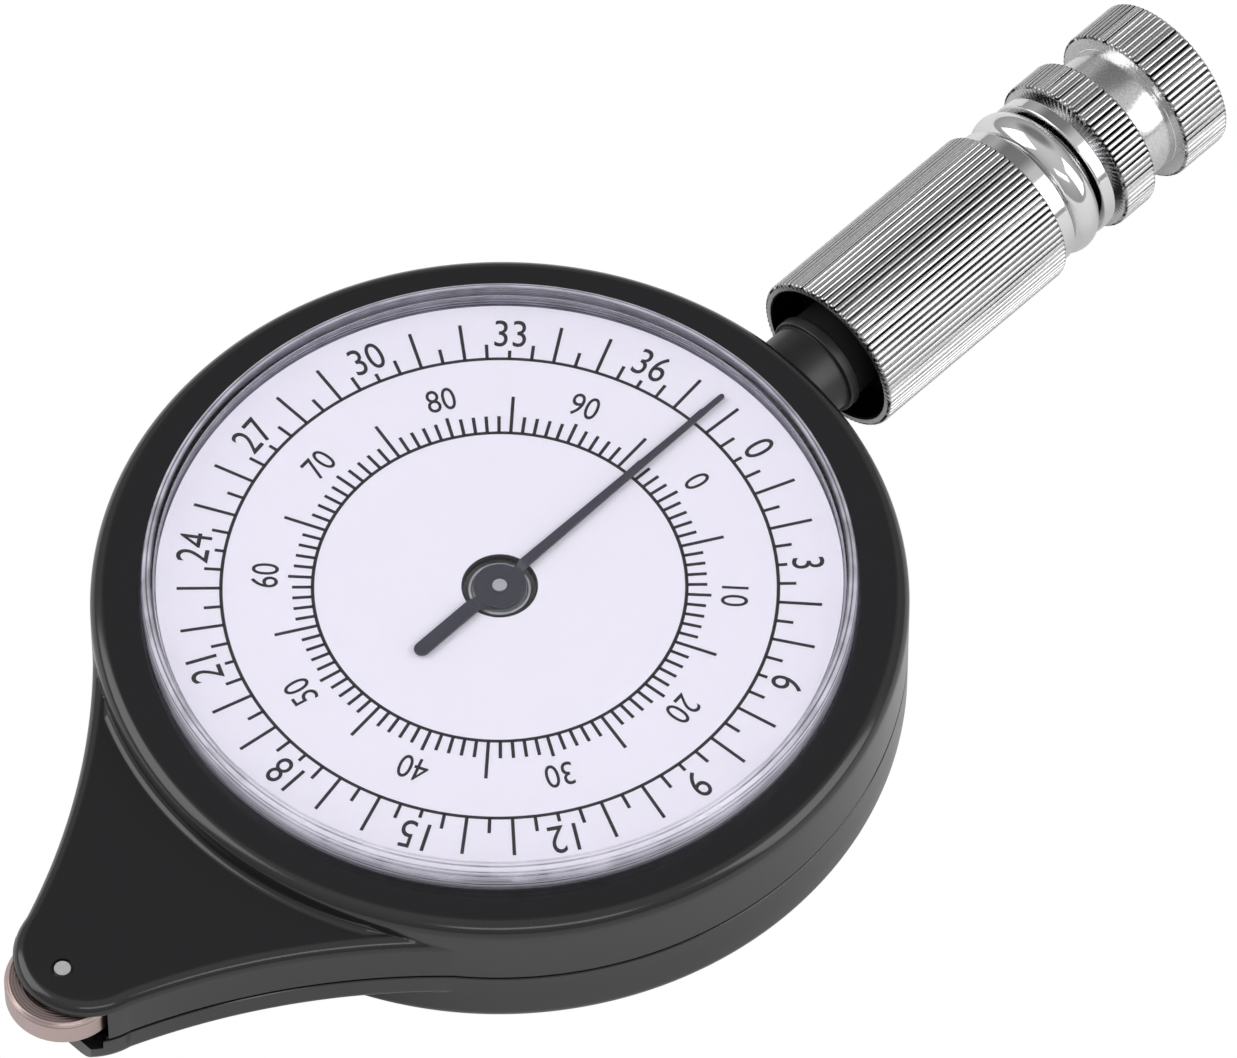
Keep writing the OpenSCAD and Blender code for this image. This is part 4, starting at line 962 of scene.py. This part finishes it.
class MEASURER_OT_build_handle(bpy.types.Operator):
    """Builds the stem, the knurled sleeve and ring, the turned collar and the end knob"""
    bl_idname = "measurer.build_handle"
    bl_label = "Build the handle"

    def execute(self, context):
        size = context.scene.measurer_handle
        inner, flange_end, neck = size.stem_inner, size.stem_flange_end, size.stem_neck
        (start, end), (ring_start, ring_end) = size.stem_span, size.stem_ring_span
        place(turned("stem_turned", [
            (0, inner, 0), (size.stem_flange, inner, 0.1 * MM),
            (size.stem_flange, flange_end, 0.1 * MM), (neck, flange_end, 0), (neck, start, 0),
            (size.stem, start, 0.15 * MM), (size.stem, ring_start, 0.05 * MM),
            (size.stem_ring, ring_start, 0.1 * MM), (size.stem_ring, ring_end, 0.1 * MM),
            (size.stem, ring_end, 0.05 * MM), (size.stem, end, 0.2 * MM), (0, end, 0)],
            8, 192, size.height), "case", "stem", "stem_black")
        place(knurled("sleeve_knurled", size.sleeve_span, size.sleeve, size, size.sleeve_bore),
              "handle", "handle_sleeve", "nickel")

        # The collar fills the gap between sleeve and ring. The bead's arc rises from its rims to
        # its middle: a chord of its width with that rise
        end, (ring_start, ring_end) = size.sleeve_span[1], size.ring_span
        (bead_start, bead_end), (disc_start, disc_end) = size.bead_span, size.disc_b_span
        half, rise = (bead_end - bead_start) / 2, size.bead - size.bead_rim
        arc_r = (half ** 2 + rise ** 2) / (2 * rise)
        lean = math.asin(half / arc_r)
        t = np.linspace(-lean, lean, 25)
        bead = np.stack([size.bead - arc_r * (1 - np.cos(t)),
                         (bead_start + bead_end) / 2 + arc_r * np.sin(t)], 1)
        spigot, disc_round = end - 3.2 * MM, 0.12 * MM
        before = rounded([
            (0, spigot, 0), (size.sleeve_bore, spigot, 0), (size.sleeve_bore, end, 0),
            (size.disc, end, disc_round), (size.disc, size.disc_end, disc_round),
            (size.groove, size.disc_end, 0), (size.groove, bead_start, 0)])
        after = rounded([
            (size.groove, bead_end, 0), (size.groove, disc_start, 0),
            (size.disc, disc_start, disc_round), (size.disc, disc_end, disc_round),
            (size.groove, disc_end, 0), (size.groove, ring_start, 0),
            (size.shank, ring_start, 0), (size.shank, ring_end, 0), (0, ring_end, 0)])
        collar = mesh_object("collar_turned", [solid_of_turn(
            np.concatenate([before, bead, after]), 256, size.height)])
        place(collar, "handle", "handle_collar", "nickel", "nickel_turned")
        place(knurled("ring_knurled", size.ring_span, size.ring, size, size.shank),
              "handle", "knurled_ring", "nickel")

        # The knob: a recess for the screw's head, the screw's hole, and the smooth neck
        start, end = size.knob_span
        low, neck, corner, seat = (size.neck_start, size.neck, 0.12 * MM,
                                   end - size.knob_seat_depth)
        place(knurled("knob_knurled", size.knob_span, size.knob, size, size.knob_seat, [
            (size.knob_seat, seat), (size.knob_bore, seat), (size.knob_bore, low),
            (neck - corner, low), (neck - 0.035 * MM, low + 0.035 * MM), (neck, low + corner),
            (neck, start - 0.05 * MM), (neck + 0.05 * MM, start)]), "knob", "end_knob", "nickel")
        return {"FINISHED"}


# --------------------------------------------------------------------- stage

# Each lamp's name, its place right of, before and above the part as seen by the camera, its
# width and height in metres, and its watts. They stand to the sides of the view, out of the way
# that flat tops mirror to it.
LAMPS = (("left_lamp", (-0.5, -0.05, 0.36), (0.5, 0.5), 1.75),
         ("right_lamp", (0.52, 0.1, 0.3), (0.4, 0.5), 1.45),
         ("front_lamp", (0.1, 0.6, 0.5), (0.5, 0.12), 0.6))


def softbox(name, position, target, size, watts):
    """White lamp with a rectangular face at a position, turned to face the target."""
    lamp = bpy.data.lights.new(name, "AREA")
    lamp.shape, lamp.size, lamp.size_y = "RECTANGLE", *size
    lamp.energy = watts
    made = linked(name, lamp)
    made.location = position
    made.rotation_euler = (target - position).to_track_quat("-Z", "Y").to_euler()
    return made


class MEASURER_OT_build_stage(bpy.types.Operator):
    """Builds the floor, the lamps, the surroundings and the camera"""
    bl_idname = "measurer.build_stage"
    bl_label = "Build the stage"

    def execute(self, context):
        scene = context.scene
        size = scene.measurer_stage
        # Floor: a flat disc of rings, white for the camera and a lit white sheet for the rest
        rings = np.array([[0, 0.05, 0.2, 1.0]]) * size.floor_size
        floor = mesh_object("floor", [surface(revolve(rings, -size.floor_drop, 96), True, False)])
        paper, add = empty_material("Matt_white_paper")
        both = add("MixShader", {
            0: add("LightPath", out="Is Camera Ray"),
            1: add("BsdfDiffuse", {"Color": tuple(size.floor_colour)}),
            2: add("Emission", {"Color": WHITE, "Strength": 1.0})})
        add("OutputMaterial", {"Surface": both})
        floor.data.materials.append(paper)

        az, el = size.azimuth, size.elevation
        right = Vector((math.cos(az), math.sin(az), 0))
        front = Vector((math.sin(az), -math.cos(az), 0))
        overhead = Vector((0, 0, 1))
        back = Vector((math.sin(az) * math.cos(el), -math.cos(az) * math.cos(el), math.sin(el)))

        # Surroundings: a white tent, brighter overhead, with a black card where flat tops would
        # mirror it to the camera
        world = bpy.data.worlds.new("tent")
        world.use_nodes = True
        world.node_tree.nodes.clear()
        add = partial(node_add, world.node_tree)
        ray = add("TexCoord", out="Generated")
        ramp = add("MapRange", {"Value": add("SeparateXYZ", {0: ray}, "Z"), "From Min": -0.1,
                                "To Min": size.tent_low, "To Max": size.tent_high})
        facing = add("VectorMath", {0: ray, 1: (-back.x, -back.y, back.z)}, "Value",
                     operation="DOT_PRODUCT")
        card = add("MapRange", {"Value": facing, "From Min": math.cos(size.card_far),
                                "From Max": math.cos(size.card_near), "To Min": 1.0,
                                "To Max": size.card_tone})
        shaded = add("Math", {0: ramp, 1: card}, operation="MULTIPLY")
        both = add("MixShader", {
            0: add("LightPath", out="Is Camera Ray"),
            1: add("Background", {"Color": WHITE, "Strength": shaded}),
            2: add("Background", {"Color": WHITE, "Strength": 1.0})})
        add("OutputWorld", {"Surface": both})
        scene.world = world

        middle = Vector((0, 0, 5 * MM))
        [softbox(name, middle + right * x + front * y + overhead * z, middle, face, watts)
                   for name, (x, y, z), face, watts in LAMPS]

        up = back.cross(right)
        target = Vector((0, 0, size.aim)) + right * size.shift_right + up * size.shift_up
        lens = bpy.data.cameras.new("camera")
        lens.sensor_width = 36
        lens.lens = lens.sensor_width * size.distance / size.frame_width
        lens.clip_start, lens.clip_end = 0.05, 20
        scene.camera = linked("camera", lens)
        turn = Matrix((right, up, back)).transposed().to_4x4()
        scene.camera.matrix_world = Matrix.Translation(target + back * size.distance) @ turn

        scene.view_settings.view_transform = "Standard"
        return {"FINISHED"}


# --------------------------------------------------------------------- panel

GROUPS = (("case", CaseSizes), ("dial", DialSizes), ("crystal", CrystalSizes),
          ("pointer", PointerSizes), ("wheel", WheelSizes), ("handle", HandleSizes),
          ("stage", StageSizes))

OPERATORS = (MEASURER_OT_finish_frame, MEASURER_OT_build_case, MEASURER_OT_build_dial,
             MEASURER_OT_build_crystal, MEASURER_OT_build_pointer, MEASURER_OT_build_wheel,
             MEASURER_OT_build_handle, MEASURER_OT_build_stage)


class MEASURER_PT_panel(bpy.types.Panel):
    """Lists the sizes, colours and building steps"""
    bl_idname = "MEASURER_PT_panel"
    bl_label = "Map measurer"
    bl_space_type = "VIEW_3D"
    bl_region_type = "UI"
    bl_category = "Map measurer"

    def draw(self, context):
        self.layout.operator("measurer.finish_frame")
        for name, kind in GROUPS:
            box = self.layout.box()
            for key in kind.__annotations__:
                box.prop(getattr(context.scene, "measurer_" + name), key)
            box.operator("measurer.build_" + name)


def register():
    for name, kind in GROUPS:
        bpy.utils.register_class(kind)
        setattr(bpy.types.Scene, "measurer_" + name, bpy.props.PointerProperty(type=kind))
    for kind in OPERATORS + (MEASURER_PT_panel,):
        bpy.utils.register_class(kind)


def unregister():
    for kind in (MEASURER_PT_panel,) + OPERATORS[::-1]:
        bpy.utils.unregister_class(kind)
    for name, kind in GROUPS[::-1]:
        delattr(bpy.types.Scene, "measurer_" + name)
        bpy.utils.unregister_class(kind)


def main():
    """Registers the add-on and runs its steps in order."""
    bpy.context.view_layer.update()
    register()
    bpy.ops.measurer.finish_frame()
    for name, _ in GROUPS:
        getattr(bpy.ops.measurer, "build_" + name)()


if __name__ == "__main__":
    main()
